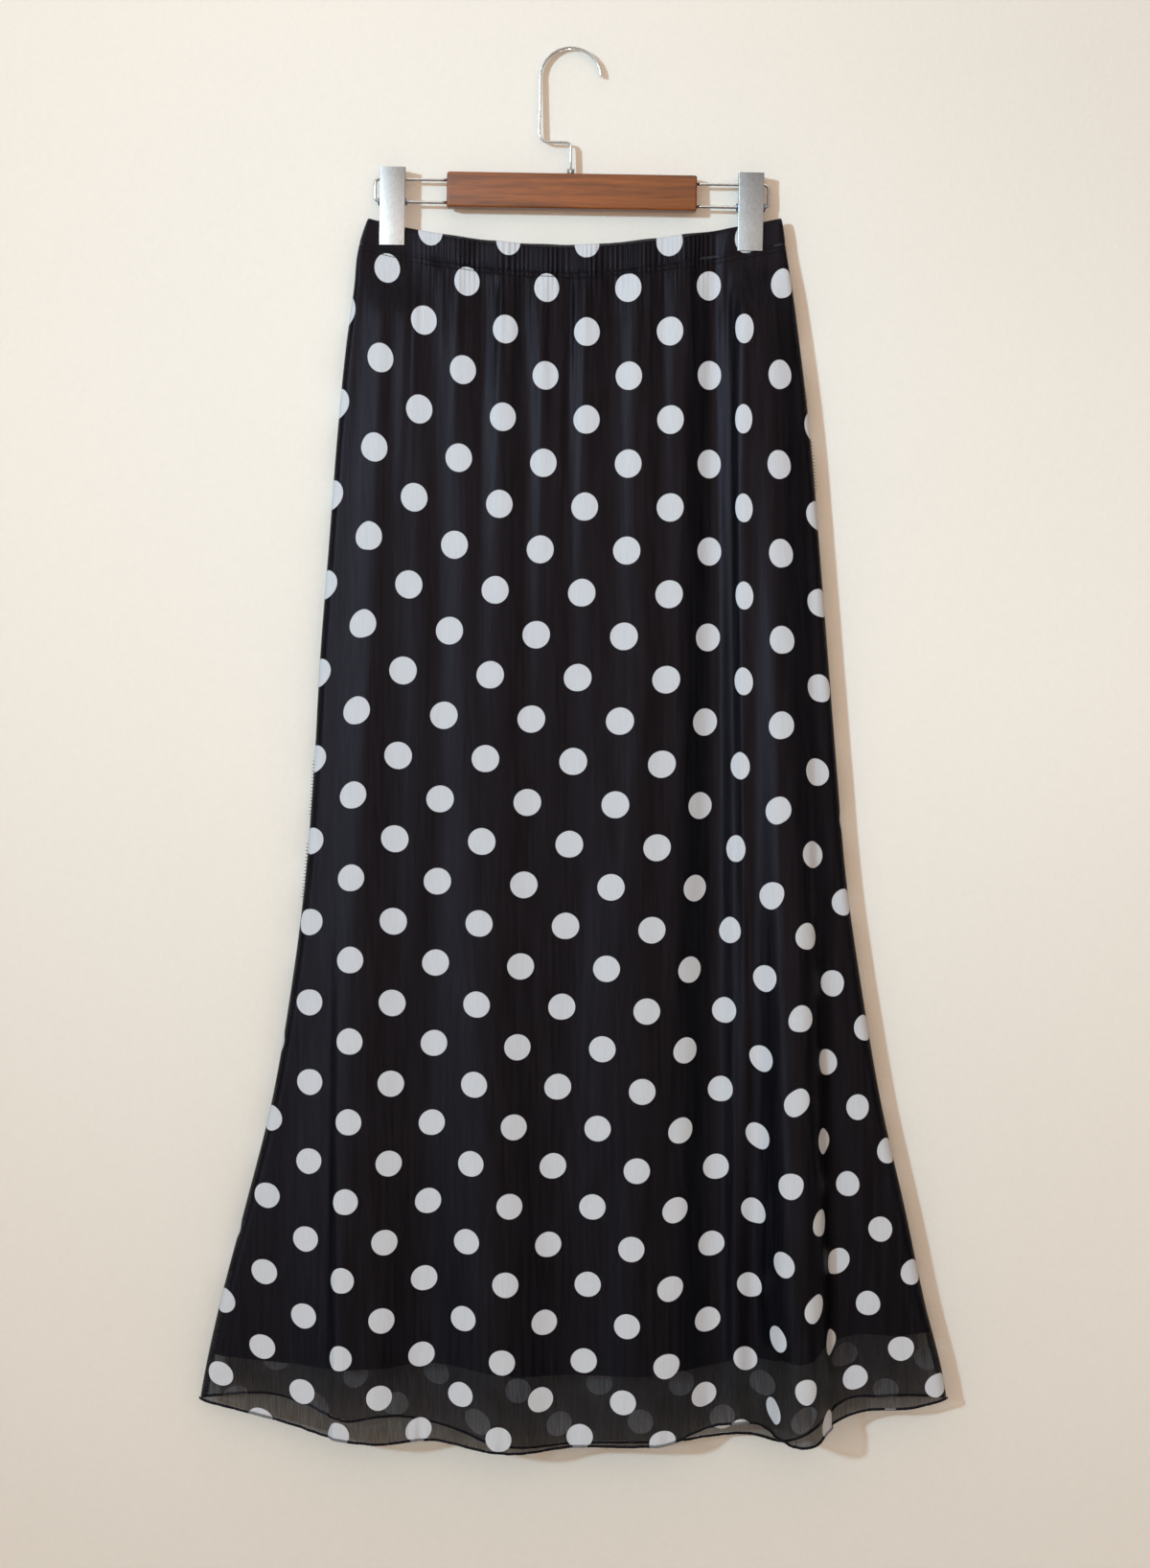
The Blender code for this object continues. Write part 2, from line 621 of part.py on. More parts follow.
def make_jaw(name, width, facing, finish, carrier, centre):
    """One jaw of a clip: a pressed channel, its flanges reaching back over the rails and bored for them."""
    half = width / 2
    bm = bmesh.new()
    rings = []
    for row in JAW_SECTIONS:
        face = row.face_y
        inner = face - CLIP_SHEET
        tip = face - row.flange
        outline = (
            (-half, tip),
            (-half, face),
            (half, face),
            (half, tip),
            (half - CLIP_SHEET, tip),
            (half - CLIP_SHEET, inner),
            (-half + CLIP_SHEET, inner),
            (-half + CLIP_SHEET, tip),
        )
        z = CLIP_TOP_Z - row.down
        rings.append([bm.verts.new((x * MM, facing * y * MM, z * MM)) for x, y in outline])
    for ring, following in zip(rings, rings[1:]):
        for i in range(8):
            j = (i + 1) % 8
            bm.faces.new((ring[i], ring[j], following[j], following[i]))
    for ring in (rings[0], rings[-1]):
        for a, b, c, d in ((0, 1, 6, 7), (1, 2, 5, 6), (2, 3, 4, 5)):
            bm.faces.new((ring[a], ring[b], ring[c], ring[d]))
    jaw = add_object(name, mesh_from(bm, name), finish, carrier)
    jaw.location = (centre * MM, 0, 0)
    for level, z in (("upper", RAIL_UPPER_Z), ("lower", RAIL_LOWER_Z)):
        hole = cylinder(f"{name}_hole_{level}", HOLE_RADIUS, 1.5 * CLIP_WIDTH, HOLE_SIDES, finish, carrier)
        hole.location = (centre * MM, 0, z * MM)
        cut(jaw, hole)
    return jaw


def make_clip(side, sign, steel, zinc, carrier):
    """A clip that slides on the rails: two jaws nested at their flanges, a spring and two washers."""
    centre = HANGER_CENTRE_X + sign * CLIP_CENTRE_X
    inner_width = CLIP_WIDTH - 2 * (CLIP_SHEET + JAW_CLEARANCE)
    make_jaw(f"clip_{side}_front_jaw", CLIP_WIDTH, -1, steel, carrier, centre)
    make_jaw(f"clip_{side}_back_jaw", inner_width, 1, steel, carrier, centre)
    name = f"clip_{side}_spring"
    spring = cylinder(name, SPRING_RADIUS, SPRING_LENGTH, HOLE_SIDES, steel, carrier, HOLE_RADIUS)
    spring.location = (centre * MM, 0, RAIL_LOWER_Z * MM)
    reach = CLIP_WIDTH / 2 + SEAM_GAP + WASHER_THICKNESS / 2
    for place, step in (("inner", -sign), ("outer", sign)):
        name = f"clip_{side}_washer_{place}"
        washer = cylinder(name, WASHER_RADIUS, WASHER_THICKNESS, HOLE_SIDES, zinc, carrier, HOLE_RADIUS)
        washer.location = ((centre + step * reach) * MM, 0, RAIL_LOWER_Z * MM)


def make_skirt():
    mesh_cloth = material("dotted_mesh", (0.02, 0.02, 0.026), 0.7)
    lining_cloth = material("lining_knit", (0.008, 0.008, 0.009), 0.85)
    make_casing(mesh_cloth)
    for name, panel in (("front", FRONT), ("back", BACK)):
        cloth_sheet(f"{name}_panel", panel_walls(panel, False), mesh_cloth)
        cloth_sheet(f"{name}_lining", panel_walls(panel, True), lining_cloth)


def main():
    clear_scene()
    make_skirt()
    make_hanger()


main()
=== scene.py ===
"""A fishtail skirt of dotted see-through mesh over a shorter black lining, clipped to a wooden hanger.

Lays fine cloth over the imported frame, sews and hems it, and finishes the hanger. The model's own frame
is kept: metres, +Z up, the skirt's front facing -Y, the origin under the crown of the hanger's hook.
Sizes here are in millimetres until they reach a mesh.
"""

import math
from collections import namedtuple

import bmesh
import bpy
import numpy as np
from mathutils import Matrix, Vector


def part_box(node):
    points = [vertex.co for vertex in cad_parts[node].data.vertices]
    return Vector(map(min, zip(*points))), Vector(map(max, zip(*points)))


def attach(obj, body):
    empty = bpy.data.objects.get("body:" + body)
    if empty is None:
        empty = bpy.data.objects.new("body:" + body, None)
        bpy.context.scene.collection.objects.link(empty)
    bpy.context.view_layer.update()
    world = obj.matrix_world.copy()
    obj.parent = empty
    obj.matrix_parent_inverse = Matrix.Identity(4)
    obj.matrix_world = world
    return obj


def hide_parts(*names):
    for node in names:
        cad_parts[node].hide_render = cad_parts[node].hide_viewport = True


bl_info = {
    "name": "Fishtail skirt on a clip hanger",
    "version": (1, 0, 0),
    "blender": (4, 5, 0),
    "location": "View3D > Sidebar > Skirt",
    "description": "Lays the cloth, sewing and hanger of a hung fishtail skirt over its packed frame",
    "category": "Object",
}

MM = 0.001

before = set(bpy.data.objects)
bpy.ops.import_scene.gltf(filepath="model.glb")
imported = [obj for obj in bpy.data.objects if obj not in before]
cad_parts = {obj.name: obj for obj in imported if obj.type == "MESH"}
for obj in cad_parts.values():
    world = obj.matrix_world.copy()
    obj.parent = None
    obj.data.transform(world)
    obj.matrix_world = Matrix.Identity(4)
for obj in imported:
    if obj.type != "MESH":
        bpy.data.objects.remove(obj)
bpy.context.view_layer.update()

# The skirt's main lengths, as the frame holds them
SKIRT_CENTRE_X = 2.9
WAIST_CORNER_Z = round(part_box("waist_casing")[1][2] / MM, 1)
CASING_HEIGHT = 21.0
WAIST_SAG = 21.5
SAG_POWER_LEFT = 2.0
SAG_POWER_RIGHT = 1.5
KNEE_DROP = 520.0
HEM_DROP = 940.0
LINING_HEM_DROP = 885.0
SEAM_GAP = 0.3
HEM_REACH_POWER = 3
FLARE_POWER = 3
SIDE_FADE_POWER = 10

# Where the clips squeeze the waist flat, and how much that calms its relief
CLIP_X_LEFT = -140.0
CLIP_X_RIGHT = 140.2
PINCH_HALF_DEPTH = 3.3
PINCH_FLAT = 13.0
PINCH_REACH = 42.0
PINCH_DROP = 75.0
PINCH_CALM = 0.85

# The hanger, in its own upright frame, and how far it leans
HANGER_LEAN = math.radians(0.94)
HANGER_CENTRE_X = 2.3
BAR_LENGTH = 195.4
BAR_HEIGHT = 27.6
BAR_DEPTH = 12.0
BAR_TOP_Z = -98.4
RAIL_UPPER_Z = -104.4
RAIL_LOWER_Z = -122.1
RAIL_RADIUS = 1.2
RAIL_END_X = 155.1
RAIL_BEND = 3.6
CLIP_CENTRE_X = 140.0
CLIP_WIDTH = 19.8
CLIP_TOP_Z = -96.0
CLIP_SHEET = 0.8
JAW_CLEARANCE = 0.4
JAW_BEND = 0.5
JAW_ROWS = 24
HOOK_RADIUS = 23.7
HOOK_SHEET = 1.5
HOOK_WIDTH = 6.0
HOOK_OFFSET_Z = -73.5
HOOK_STEM_X = 1.2
HOOK_CORNER_OUTER = 6.8
HOOK_CORNER_INNER = 4.4
HOOK_TIP_ANGLE = 4.0
NUT_RADIUS = 3.2
NUT_HEIGHT = 3.8
SPRING_TURNS = 8
SPRING_LENGTH = 13.4
SPRING_RADIUS = 2.3
SPRING_WIRE = 0.5
WASHER_BORE = 1.55
WASHER_RADIUS = 3.1
WASHER_HALF = 0.6

# How round the hanger's edges are worked, and the bend past which an edge is sharp
HOOK_EASE = 0.35
NUT_EASE = 0.3
JAW_EASE = 0.12
WASHER_EASE = 0.2
SHARP_BEND = math.radians(60)


def table(kind, *rows):
    return tuple(kind(*row) for row in rows)


# Half widths of the skirt laid against the wall, at drops below the waist's corners
Width = namedtuple("Width", "drop left right")
WIDTHS = table(
    Width,
    (0, 162.4, 162.0), (24, 170.0, 165.5), (54, 173.3, 170.3), (100, 179.5, 176.3),
    (166, 186.0, 184.0), (250, 192.5, 191.0), (340, 199.5, 198.0), (430, 204.5, 205.0),
    (520, 211.5, 212.6), (610, 222.8, 225.0), (700, 238.0, 240.0), (790, 260.0, 259.5),
    (860, 277.5, 273.5), (922, 290.3, 288.0), (965, 297.0, 294.0),
)

# Depth of the flattened tube: the side seams' plane, the round of its sides, and the bulge of each panel
Depth = namedtuple("Depth", "drop seam_y side_round front_bulge back_bulge")
DEPTHS = table(
    Depth,
    (0, 0.0, 4.8, 1.4, 1.4), (21, 0.0, 5.0, 2.8, 2.2), (90, -0.5, 6.2, 7.4, 3.0), (260, -1.0, 7.2, 10.5, 3.0),
    (520, -1.5, 8.0, 12.0, 2.8), (760, -2.5, 8.6, 12.6, 2.8), (965, -3.5, 9.0, 12.6, 2.8),
)

# Folds: the crest's place across, how far it stands out and its reach to either side, each at the
# waist, at the knee and at the hem. A trough stands out by less than nothing.
Fold = namedtuple("Fold", "name x rise left right")
FRONT_FOLDS = table(
    Fold,
    ("left_ripple", (-150, -168, -170), (1.6, 0.6, 0), (17, 24, 30), (17, 24, 30)),
    ("second_ripple", (-127, -122, -120), (2.2, 0.6, 0), (16, 24, 30), (17, 24, 30)),
    ("third_ripple", (-91, -88, -86), (2.4, 0.2, 0), (17, 22, 30), (17, 22, 30)),
    ("fourth_ripple", (-57, -54, -52), (2.6, 0.2, 0), (16, 22, 30), (17, 22, 30)),
    ("fifth_ripple", (-22, -20, -20), (2.4, 0.2, 0), (16, 24, 30), (16, 24, 30)),
    ("centre_ripple", (10, 14, 14), (2.8, 0.4, 0), (17, 24, 30), (18, 24, 30)),
    ("right_ripple", (53, 56, 56), (2.8, 0.8, 0), (19, 24, 30), (17, 24, 30)),
    ("left_swell", (-150, -171, -161), (0, 3.0, 12), (30, 45, 70), (30, 38, 48)),
    ("middle_swell", (-60, -72, -58), (0, 3.5, 14), (30, 45, 58), (30, 42, 56)),
    ("right_swell", (50, 46, 58), (0, 5.0, 10), (30, 55, 66), (30, 45, 52)),
    ("crest_before_valley", (84, 84, 82), (3.0, 4.0, 1), (20, 26, 26), (22, 24, 24)),
    ("valley", (110, 107, 111), (-5.0, -8.0, -5), (26, 30, 30), (26, 26, 22)),
    ("fine_ridge", (118, 123, 124), (1.2, 1.6, 1.6), (9, 9, 9), (10, 9, 9)),
    ("second_valley", (140, 141, 143), (0, -3.5, -8), (16, 18, 20), (16, 18, 18)),
    ("flute", (148, 165, 175.5), (5.0, 15.0, 29), (28, 40, 42), (30, 40, 25)),
    ("side_dip", (172, 192, 214), (-0.5, -1.5, -3), (14, 20, 30), (14, 20, 34)),
)
BACK_FOLDS = table(
    Fold,
    ("ripple_a", (-128, -132, -130), (-1.4, -0.4, 0), (18, 26, 30), (18, 26, 30)),
    ("ripple_b", (-84, -84, -84), (-1.4, -0.4, 0), (20, 26, 30), (20, 26, 30)),
    ("ripple_c", (-38, -36, -36), (-1.4, -0.4, 0), (20, 26, 30), (20, 26, 30)),
    ("ripple_d", (8, 8, 8), (-1.4, -0.4, 0), (20, 26, 30), (20, 26, 30)),
    ("ripple_e", (52, 54, 54), (-1.4, -0.4, 0), (20, 26, 30), (20, 26, 30)),
    ("ripple_f", (98, 100, 100), (-1.4, -0.4, 0), (20, 26, 30), (20, 26, 30)),
    ("outer_flute", (-150, -172, -178), (0, -2.0, -9), (24, 30, 34), (24, 30, 30)),
    ("left_flute", (-90, -98, -104), (0, -2.0, -4), (30, 34, 40), (30, 34, 40)),
    ("middle_flute", (-20, -22, -30), (-0.5, -3.0, -7), (30, 40, 50), (30, 40, 50)),
    ("right_flute", (74, 82, 92), (-0.5, -3.0, -6), (30, 36, 46), (30, 36, 46)),
    ("far_flute", (150, 172, 200), (0, -1.5, -4), (24, 30, 44), (24, 30, 44)),
)

# Soft lips that only the cloth has: there a fold's side turns in sharply and hides the cloth behind it
FRONT_LIPS = table(
    Fold,
    ("flute_lip", (170, 182, 195.5), (0, 4.0, 13.5), (20, 20, 21), (9, 8, 8)),
    ("left_lip", (-170, -184, -186), (0, 0.0, 5.0), (7, 7, 6), (20, 20, 22)),
    ("valley_lip", (126, 132, 134), (3.0, 4.5, 0.0), (8, 8, 8), (26, 26, 26)),
)

# The hems: how far below the waist's corners each lies, across the skirt
Hem = namedtuple("Hem", "x drop")
FRONT_HEM = table(
    Hem,
    (-292, 922.0), (-225, 938.4), (-187, 948.9), (-155, 953.0), (-109, 951.2), (-66, 957.9), (-48, 959.3),
    (3, 955.7), (49, 954.5), (70, 953.4), (95, 944.5), (114, 940.0), (131, 938.9), (146, 941.1),
    (157, 947.6), (175, 952.7), (188, 950.2), (201, 939.4), (219, 931.5), (263, 928.0), (289, 922.0),
)
BACK_HEM = table(
    Hem,
    (-292, 922.0), (-228, 922.5), (-211, 928.7), (-178, 941.0), (-161, 939.5), (-123, 939.5), (-89, 949.7),
    (-73, 957.5), (0, 959.0), (80, 957.0), (104, 953.0), (142, 952.8), (163, 958.0), (190, 946.0),
    (205, 929.0), (243, 922.5), (289, 922.0),
)

# The linings' hems: how much lower each hangs than an even distance above the panels' hems
Lower = namedtuple("Lower", "x lower")
LINING_LOWER = table(
    Lower, (-277, 20.0), (-225, 12.0), (-160, 0.0), (110, 0.0), (150, -6.0), (200, -8.0), (274, -2.0)
)

# The grain line: where one straight thread of each panel lies, down the skirt
Grain = namedtuple("Grain", "drop x")
FRONT_GRAIN = table(
    Grain,
    (0, 11.9), (140, 11.8), (280, 8.0), (412, 1.4), (540, -4.5), (664, -10.5), (784, -17.9), (902, -23.8),
    (960, -26.5),
)
BACK_GRAIN = table(Grain, (0, 16.0), (960, 22.4))

# The printed dots: half a pitch between a column and the next, and where each row lies down the cloth.
# The cloth's own weight stretches it most at the waist, so the rows draw closer towards the hem.
DOT_HALF_PITCH = 32.25
DOT_FIRST_DROP = -1.0
DOT_ROW_PITCH = 71.9
DOT_ROW_DRAW = 0.53
BACK_ROW_START = 0.12

# A dot's half width and half height, in pitches, how far its edge wanders and how soft it is
DOT_HALF = (0.157, 0.162)
DOT_WANDER = 0.04
DOT_SOFT = 0.04

# The ink is painted this much lighter on the back, as painted light for light through the front's net, and
# fainter when rolled, and rougher than the thread. It closes the net, whose threads and slubs cover more and
# less than the whole does.
BACK_INK_PAINTED_LIGHT = 1.35
ROLLED_PRINT = 0.3
INK_DARKEST = 0.82
INK_COVER = 0.97
INK_ROUGHER = 0.41
THREAD_ROUGH = 0.42
WEAVE_COVER = 0.36
SLUB_COVER = 0.08

# How far across the cloth the dots have slipped from even columns, at columns counted from the grain
Slip = namedtuple("Slip", "row far_left left middle right_of_middle before_flute flute past_flute far_right")
SLIP_COLUMNS = (-7, -5, 0, 3, 5, 7, 9, 11)
SLIP_ROUNDS = 4
FRONT_SLIP = table(
    Slip,
    (0.0, 9.0, 6.7, 0, 1.8, -3.0, -3.0, -3.0, -3.0),
    (1.0, 1.0, 0.6, 0, 1.7, -5.5, -5.0, -5.0, -5.0),
    (2.5, -6.0, -4.5, 0, 2.8, -6.5, -5.0, -5.0, -5.0),
    (4.0, -9.0, -7.5, 0, 6.0, -1.1, 4.0, 2.0, 0.0),
    (5.5, -12.0, -9.5, 0, 8.0, 5.5, 9.0, 4.0, 0.0),
    (7.0, -10.0, -8.9, 0, 6.4, 7.3, 10.0, 2.0, -2.0),
    (9.0, -6.0, -4.7, 0, 3.2, 1.6, 2.2, -3.5, -7.0),
    (11.0, 0.1, -0.3, 0, 2.1, 3.0, 5.8, -2.0, -6.0),
    (12.5, 0.0, -1.0, 0, 0.8, 3.5, 2.7, 0.0, -3.0),
    (14.0, 0.0, 0.0, 0, 1.0, 3.7, -0.5, -7.0, -4.0),
)

# Where the print is drawn in beside a fold: its column, the rows it starts and ends at, and by how much.
# It sets in over part of a row, and is strongest a third of a column from the column's middle.
Squeeze = namedtuple("Squeeze", "column top bottom amount")
SQUEEZES = table(Squeeze, (4, 0.6, 8.6, 2.0))
SQUEEZE_SET_IN = 0.8
SQUEEZE_OFF = (0.0, 0.34, 0.5)
SQUEEZE_SHARE = (0.0, 1.0, 0.0)

# How far each column of dots hangs low, in rows, and over how many rows that sets in on either side
Lift = namedtuple("Lift", "column rows")
FRONT_LIFT = table(
    Lift,
    (-7, 0.24), (-6, 0.20), (-5, 0.11), (-4, 0.07), (-2, 0.0), (0, 0.0), (1, 0.04), (2, 0.09), (3, 0.14),
    (4, 0.20), (5, 0.28), (6, 0.35), (7, 0.46), (8, 0.56), (9, 0.68), (10, 0.83), (11, 0.95),
)
BACK_LIFT = table(Lift, (-9, 0.34), (-5, 0.12), (0, 0.0), (5, 0.10), (9, 0.30))
LIFT_ROWS_LEFT = 6
LIFT_ROWS_RIGHT = 4
LIFT_START_RIGHT = 0.8

# Creases pressed into the cloth by hand: where each lies on the grain, from which drop to which, how
# far it stands out, its half width, and how far it leans across on its way down
Crease = namedtuple("Crease", "grain top bottom rise width lean")
FRONT_CREASES = table(
    Crease,
    (-150, 24, 150, 0.8, 7, -10), (-132, 22, 230, -0.9, 6, 6), (-118, 22, 120, 0.7, 4, 9),
    (-104, 24, 300, 0.8, 9, -6), (-74, 22, 190, -0.9, 6, -7), (-66, 30, 260, 0.6, 5, -4),
    (-40, 22, 210, 0.9, 6, 4), (-30, 24, 150, -0.7, 4, 5), (-2, 22, 300, 0.8, 7, -8),
    (24, 22, 180, -0.9, 6, 3), (34, 26, 260, 0.7, 6, -3), (60, 22, 330, -0.8, 8, -2),
    (78, 22, 160, 0.7, 5, 4), (104, 22, 240, -0.8, 6, -6), (128, 24, 420, 0.9, 6, -3),
    (-160, 330, 640, 0.8, 11, -9), (-96, 420, 760, -0.9, 12, -12), (-44, 380, 700, 0.8, 12, -10),
    (14, 460, 820, -0.9, 13, -8), (52, 340, 640, 0.8, 10, -6), (96, 520, 900, -0.7, 9, -4),
    (-190, 640, 930, 0.9, 13, -14), (-120, 700, 938, 0.8, 11, -8), (-20, 740, 938, 0.8, 12, 5),
    (44, 700, 930, -0.8, 10, 6), (150, 560, 938, 0.7, 7, 4), (270, 700, 936, 0.8, 10, 9),
)
BACK_CREASES = table(
    Crease,
    (-140, 22, 190, 0.8, 7, -6), (-112, 24, 280, -0.7, 7, 5), (-80, 22, 160, 0.7, 6, -4),
    (-48, 22, 320, -0.8, 8, 3), (-16, 24, 220, 0.8, 7, -5), (22, 22, 260, -0.7, 6, 4),
    (58, 22, 180, 0.8, 7, -3), (92, 24, 300, -0.8, 8, 4), (126, 22, 210, 0.7, 6, 6),
    (-150, 420, 760, 0.8, 12, -8), (-60, 360, 700, -0.8, 13, -4), (30, 440, 800, 0.8, 12, 5),
    (110, 380, 720, -0.7, 11, 6), (-200, 700, 936, 0.8, 12, -12), (-100, 720, 938, -0.8, 12, -6),
    (0, 680, 938, 0.8, 12, 3), (90, 720, 936, 0.8, 11, 8), (180, 690, 938, -0.7, 11, 10),
)

# The shares of a crease's length over which it sets in and fades out: one that starts in the gathers is
# there at once. Each widens and wavers a little on its way down.
CREASE_ENDS = (0.18, 0.45)
CREASE_ENDS_IN_GATHERS = (0.1, 0.9)
CREASE_GATHERS_TO = 31.0
CREASE_NARROW = 0.8
CREASE_WIDENING = 0.5
CREASE_WAVER = 1.6
CREASE_WAVES = 5

Panel = namedtuple("Panel", "folds bulge facing hem grain slip lift creases seed")
PANELS = {
    "front": Panel(
        FRONT_FOLDS + FRONT_LIPS, "front_bulge", -1, FRONT_HEM, FRONT_GRAIN, FRONT_SLIP, FRONT_LIFT,
        FRONT_CREASES, 0.4,
    ),
    "back": Panel(BACK_FOLDS, "back_bulge", 1, BACK_HEM, BACK_GRAIN, (), BACK_LIFT, BACK_CREASES, 2.9),
}
FRONT = PANELS["front"]
BACK = PANELS["back"]

# The casing's gathers, which die away below it, and its two rows of stitches with puckers between them
GATHER_PITCH = 3.9
GATHER_RISE = 0.75
GATHER_FADE = 20.0
STITCH_DROPS = (21.9, 25.6)
STITCH_DEPTH = 0.35
STITCH_DIP = 0.8
STITCH_LENGTH = 2.8
STITCH_POINTS = 800
STITCH_INSET = 0.35
STITCH_THREAD = 0.1
STITCH_SWELL = 0.22
PUCKER_PITCH = 2.9
PUCKER_RISE = 0.3
PUCKER_REACH = 2.4

# The ripples and the wider drape that the gathers merge into: how far each stands out, the drops over
# which it fades and sets in, its pitch, and how far it leans across for each millimetre down
Wave = namedtuple("Wave", "rise fade set_in pitch lean seed")
WAVES = table(Wave, (0.75, 62.0, 9.0, 11.5, 0.02, 2), (0.8, 150.0, 30.0, 25.0, -0.015, 3))
HEM_RIPPLE = 0.9
HEM_RIPPLE_PITCH = 15.0
HEM_RIPPLE_REACH = 16.0

# A ripple's pitch wanders and its height changes along the cloth: by how much, over how many pitches,
# and how far each sheet's own seed shifts it
Wander = namedtuple("Wander", "size pitches shift")
WAVE_WANDERS = table(Wander, (1.5, 5.3, 1.0), (0.9, 2.7, 2.1))
WAVE_SWELL = Wander(0.32, 3.9, 3.3)
GATHER_WANDERS = table(Wander, (1.1, 41.0, 1), (0.9, 24.0, 2))
GATHER_SWELL = Wander(0.2, 30.5, 3)

# How far inside the skirt's outer face each sheet lies, and how many points it has across
LINING_INSET_DROPS = (75.0, 260.0)
LINING_INSETS = (2.1, 3.3)
MESH_INSET = 0.5
SIDE_INSET = 1.3
SIDE_INSET_POWER = 24
COLUMNS = {"front": 550, "back": 420}
LINING_COLUMNS = 260
LINING_CORD = 0.55

# How close the sheets' rows lie: under the casing and at the hem for each cloth, and how far down each
# spacing holds
MESH_ROWS = (1.7, 1.7)
LINING_ROWS = (3.2, 2.6)
ROWS_CLOSEST_TO = 29.0
ROWS_FINE_TO = 90.0
ROWS_WIDENING = 1.4
ROWS_MIDDLE = 7.0
ROWS_FINE_ABOVE_HEM = 26.0

# Round the casing's wall: how far in from the outer face, how far down, and the share of the
# gathers' rise that shows there
Wall = namedtuple("Wall", "inward down gather")
CASING_SECTION = table(
    Wall,
    (2.9, 23.0, 0.3), (2.9, 14.0, 0.2), (2.85, 7.0, 0.2), (2.6, 1.5, 0.3), (1.9, 0.3, 0.4), (1.2, 0.0, 0.5),
    (0.5, 0.5, 0.7), (0.12, 2.0, 0.9), (0.0, 4.5, 1.0), (-0.05, 8.0, 1.05), (-0.05, 11.5, 1.05),
    (0.0, 15.0, 1.0), (0.1, 17.5, 1.0), (0.3, 19.4, 1.0), (MESH_INSET, 21.0, 1.0),
)
ELASTIC_SECTION = table(
    Wall,
    (2.3, 19.0, 0.35), (2.3, 2.5, 0.35), (1.9, 2.0, 0.35), (1.2, 2.0, 0.35), (0.9, 2.5, 0.35),
    (0.9, 18.6, 0.35), (1.2, 19.1, 0.35), (2.3, 19.0, 0.35),
)
CASING_DEPTH = 2.9
CASING_LOOP_POINTS = 1440

# The rolled hem's edge swells and thins along the cloth
ROLL_SWELL = 0.22
ROLL_STEP = 1.25
ROLL_PITCH = 3.1
ROLL_SEED = 0.7

# The side seams: rows of the allowance in from the edge, and where the overlocking rolls out and shows
SEAM_ROWS = (0.4, 2.0, 4.0, 6.0)
SEAM_STEP = 2.0
SEAM_WAVER = 0.25
SEAM_WAVE = 21.0
BETWEEN_DOTS = 0.25
SERGE_PITCH = 2.6
SERGE_LOOP = 0.35
SERGE_THREAD = 0.28
Peek = namedtuple("Peek", "side top bottom reach")
PEEKS = table(
    Peek, ("left", 422, 474, 1.5), ("left", 488, 539, 1.7), ("right", 130, 152, 1.0), ("right", 170, 218, 1.5)
)
PEEK_SET_IN = 6

# Side of a jaw, down from its top: its outer face's depth, and how far its side flanges reach back
Jaw = namedtuple("Jaw", "down face_y flange")
JAW_SECTIONS = table(
    Jaw, (0.0, 8.6, 9.6), (14.0, 8.0, 10.4), (29.0, 7.1, 9.5), (35.5, 6.6, 1.9), (60.5, 4.75, 0.9)
)

# The clips' steel is painted darker at its top and lighter below: painted shade and a painted reflection of
# the room
PaintedShade = namedtuple("PaintedShade", "high low dull bright")
CLIP_PAINTED_SHADE = PaintedShade(CLIP_TOP_Z - 2, CLIP_TOP_Z - 46, 0.587, 1.1)
# Each clip's colour and roughness: the left's colour is painted lighter than the right's, as painted light
# from the key on the left
CLIP_LIT_AND_SHADED_TONES = {"left": ("#e2d6cf", 0.42), "right": ("#c2bebb", 0.36)}

# The camera, and the wall: it bows, so that it almost touches the hook and lies further behind the skirt
CAMERA_PLACE = (2.9, -2600.0, -575.4)
FRAME_HEIGHT = 1227.0
SENSOR = 36.0
WALL_SIZE = 12.0
WALL_ROWS = 600
WALL_Y_HIGH = 3.6
WALL_Y_LOW = 18.0
WALL_BOW_TOP = 60.0
WALL_BOW_FOOT = -260.0

# The paint's mottle, and the painted shade that darkens it along an axis, from one place to another in
# metres, by a share
MOTTLE = 0.045
PaintedFalloff = namedtuple("PaintedFalloff", "axis start end share")
WALL_PAINTED_SHADE = table(PaintedFalloff, ("Z", -0.55, -1.15, 0.08), ("X", -0.2, 0.4, 1.0), ("Z", -0.5, 0.0, 0.1))

# The lights: a key from the left, a light from behind, a soft fill from all round, and a bright room that
# only shows in gloss
LAMP_DISTANCE = 8.0
LAMP_WIDTH = 0.45
LAMP_SPREAD = math.radians(27.0)
LAMP_AIM = (0.05, 0.0, -0.2)
LAMP_FROM_ABOVE = math.radians(8.0)
Lamp = namedtuple("Lamp", "name around watts tint")
LAMPS = table(
    Lamp, ("key_light", math.radians(-33.0), 11.2, "#c6ebff"), ("rear_light", math.pi, 11.0, "#fafeff")
)
FILL_TINT = "#f9ddc7"
FILL_FROM_ABOVE = 0.7
FILL_FROM_LEFT = 0.35
FILL_FROM_ROUND = 0.32
FILL_FROM_FRONT = 2.68
FILL_FRONT_POWER = 4.0
ROOM_TINT = "#fffcfa"
ROOM_SIDES = 0.85
ROOM_RISE = 1.3
ROOM_LEVEL = 0.62
ROOM_LEAST = 0.22
SEEN_TINT = "#efe8dd"


# Curves through the tables


def column(rows, name):
    return [getattr(row, name) for row in rows]


def read(rows, name, at):
    """A table's value where its first column says at: cubic stretches through its rows, with even slopes."""
    stations = np.array(column(rows, rows[0]._fields[0]), float)
    values = np.array(column(rows, name), float)
    slopes = np.gradient(values, stations)
    at = np.clip(at, stations[0], stations[-1])
    i = np.clip(np.searchsorted(stations, at, side="right") - 1, 0, len(stations) - 2)
    span = stations[i + 1] - stations[i]
    t = (at - stations[i]) / span
    rise = values[i + 1] - values[i]
    bend_in = slopes[i] * span - rise
    bend_out = rise - slopes[i + 1] * span
    return values[i] + t * rise + t * (1 - t) * ((1 - t) * bend_in + t * bend_out)


def at_height(three, drop):
    """A fold's value at this drop, from its values at the waist, the knee and the hem."""
    return np.interp(drop, (CASING_HEIGHT, KNEE_DROP, HEM_DROP), three)


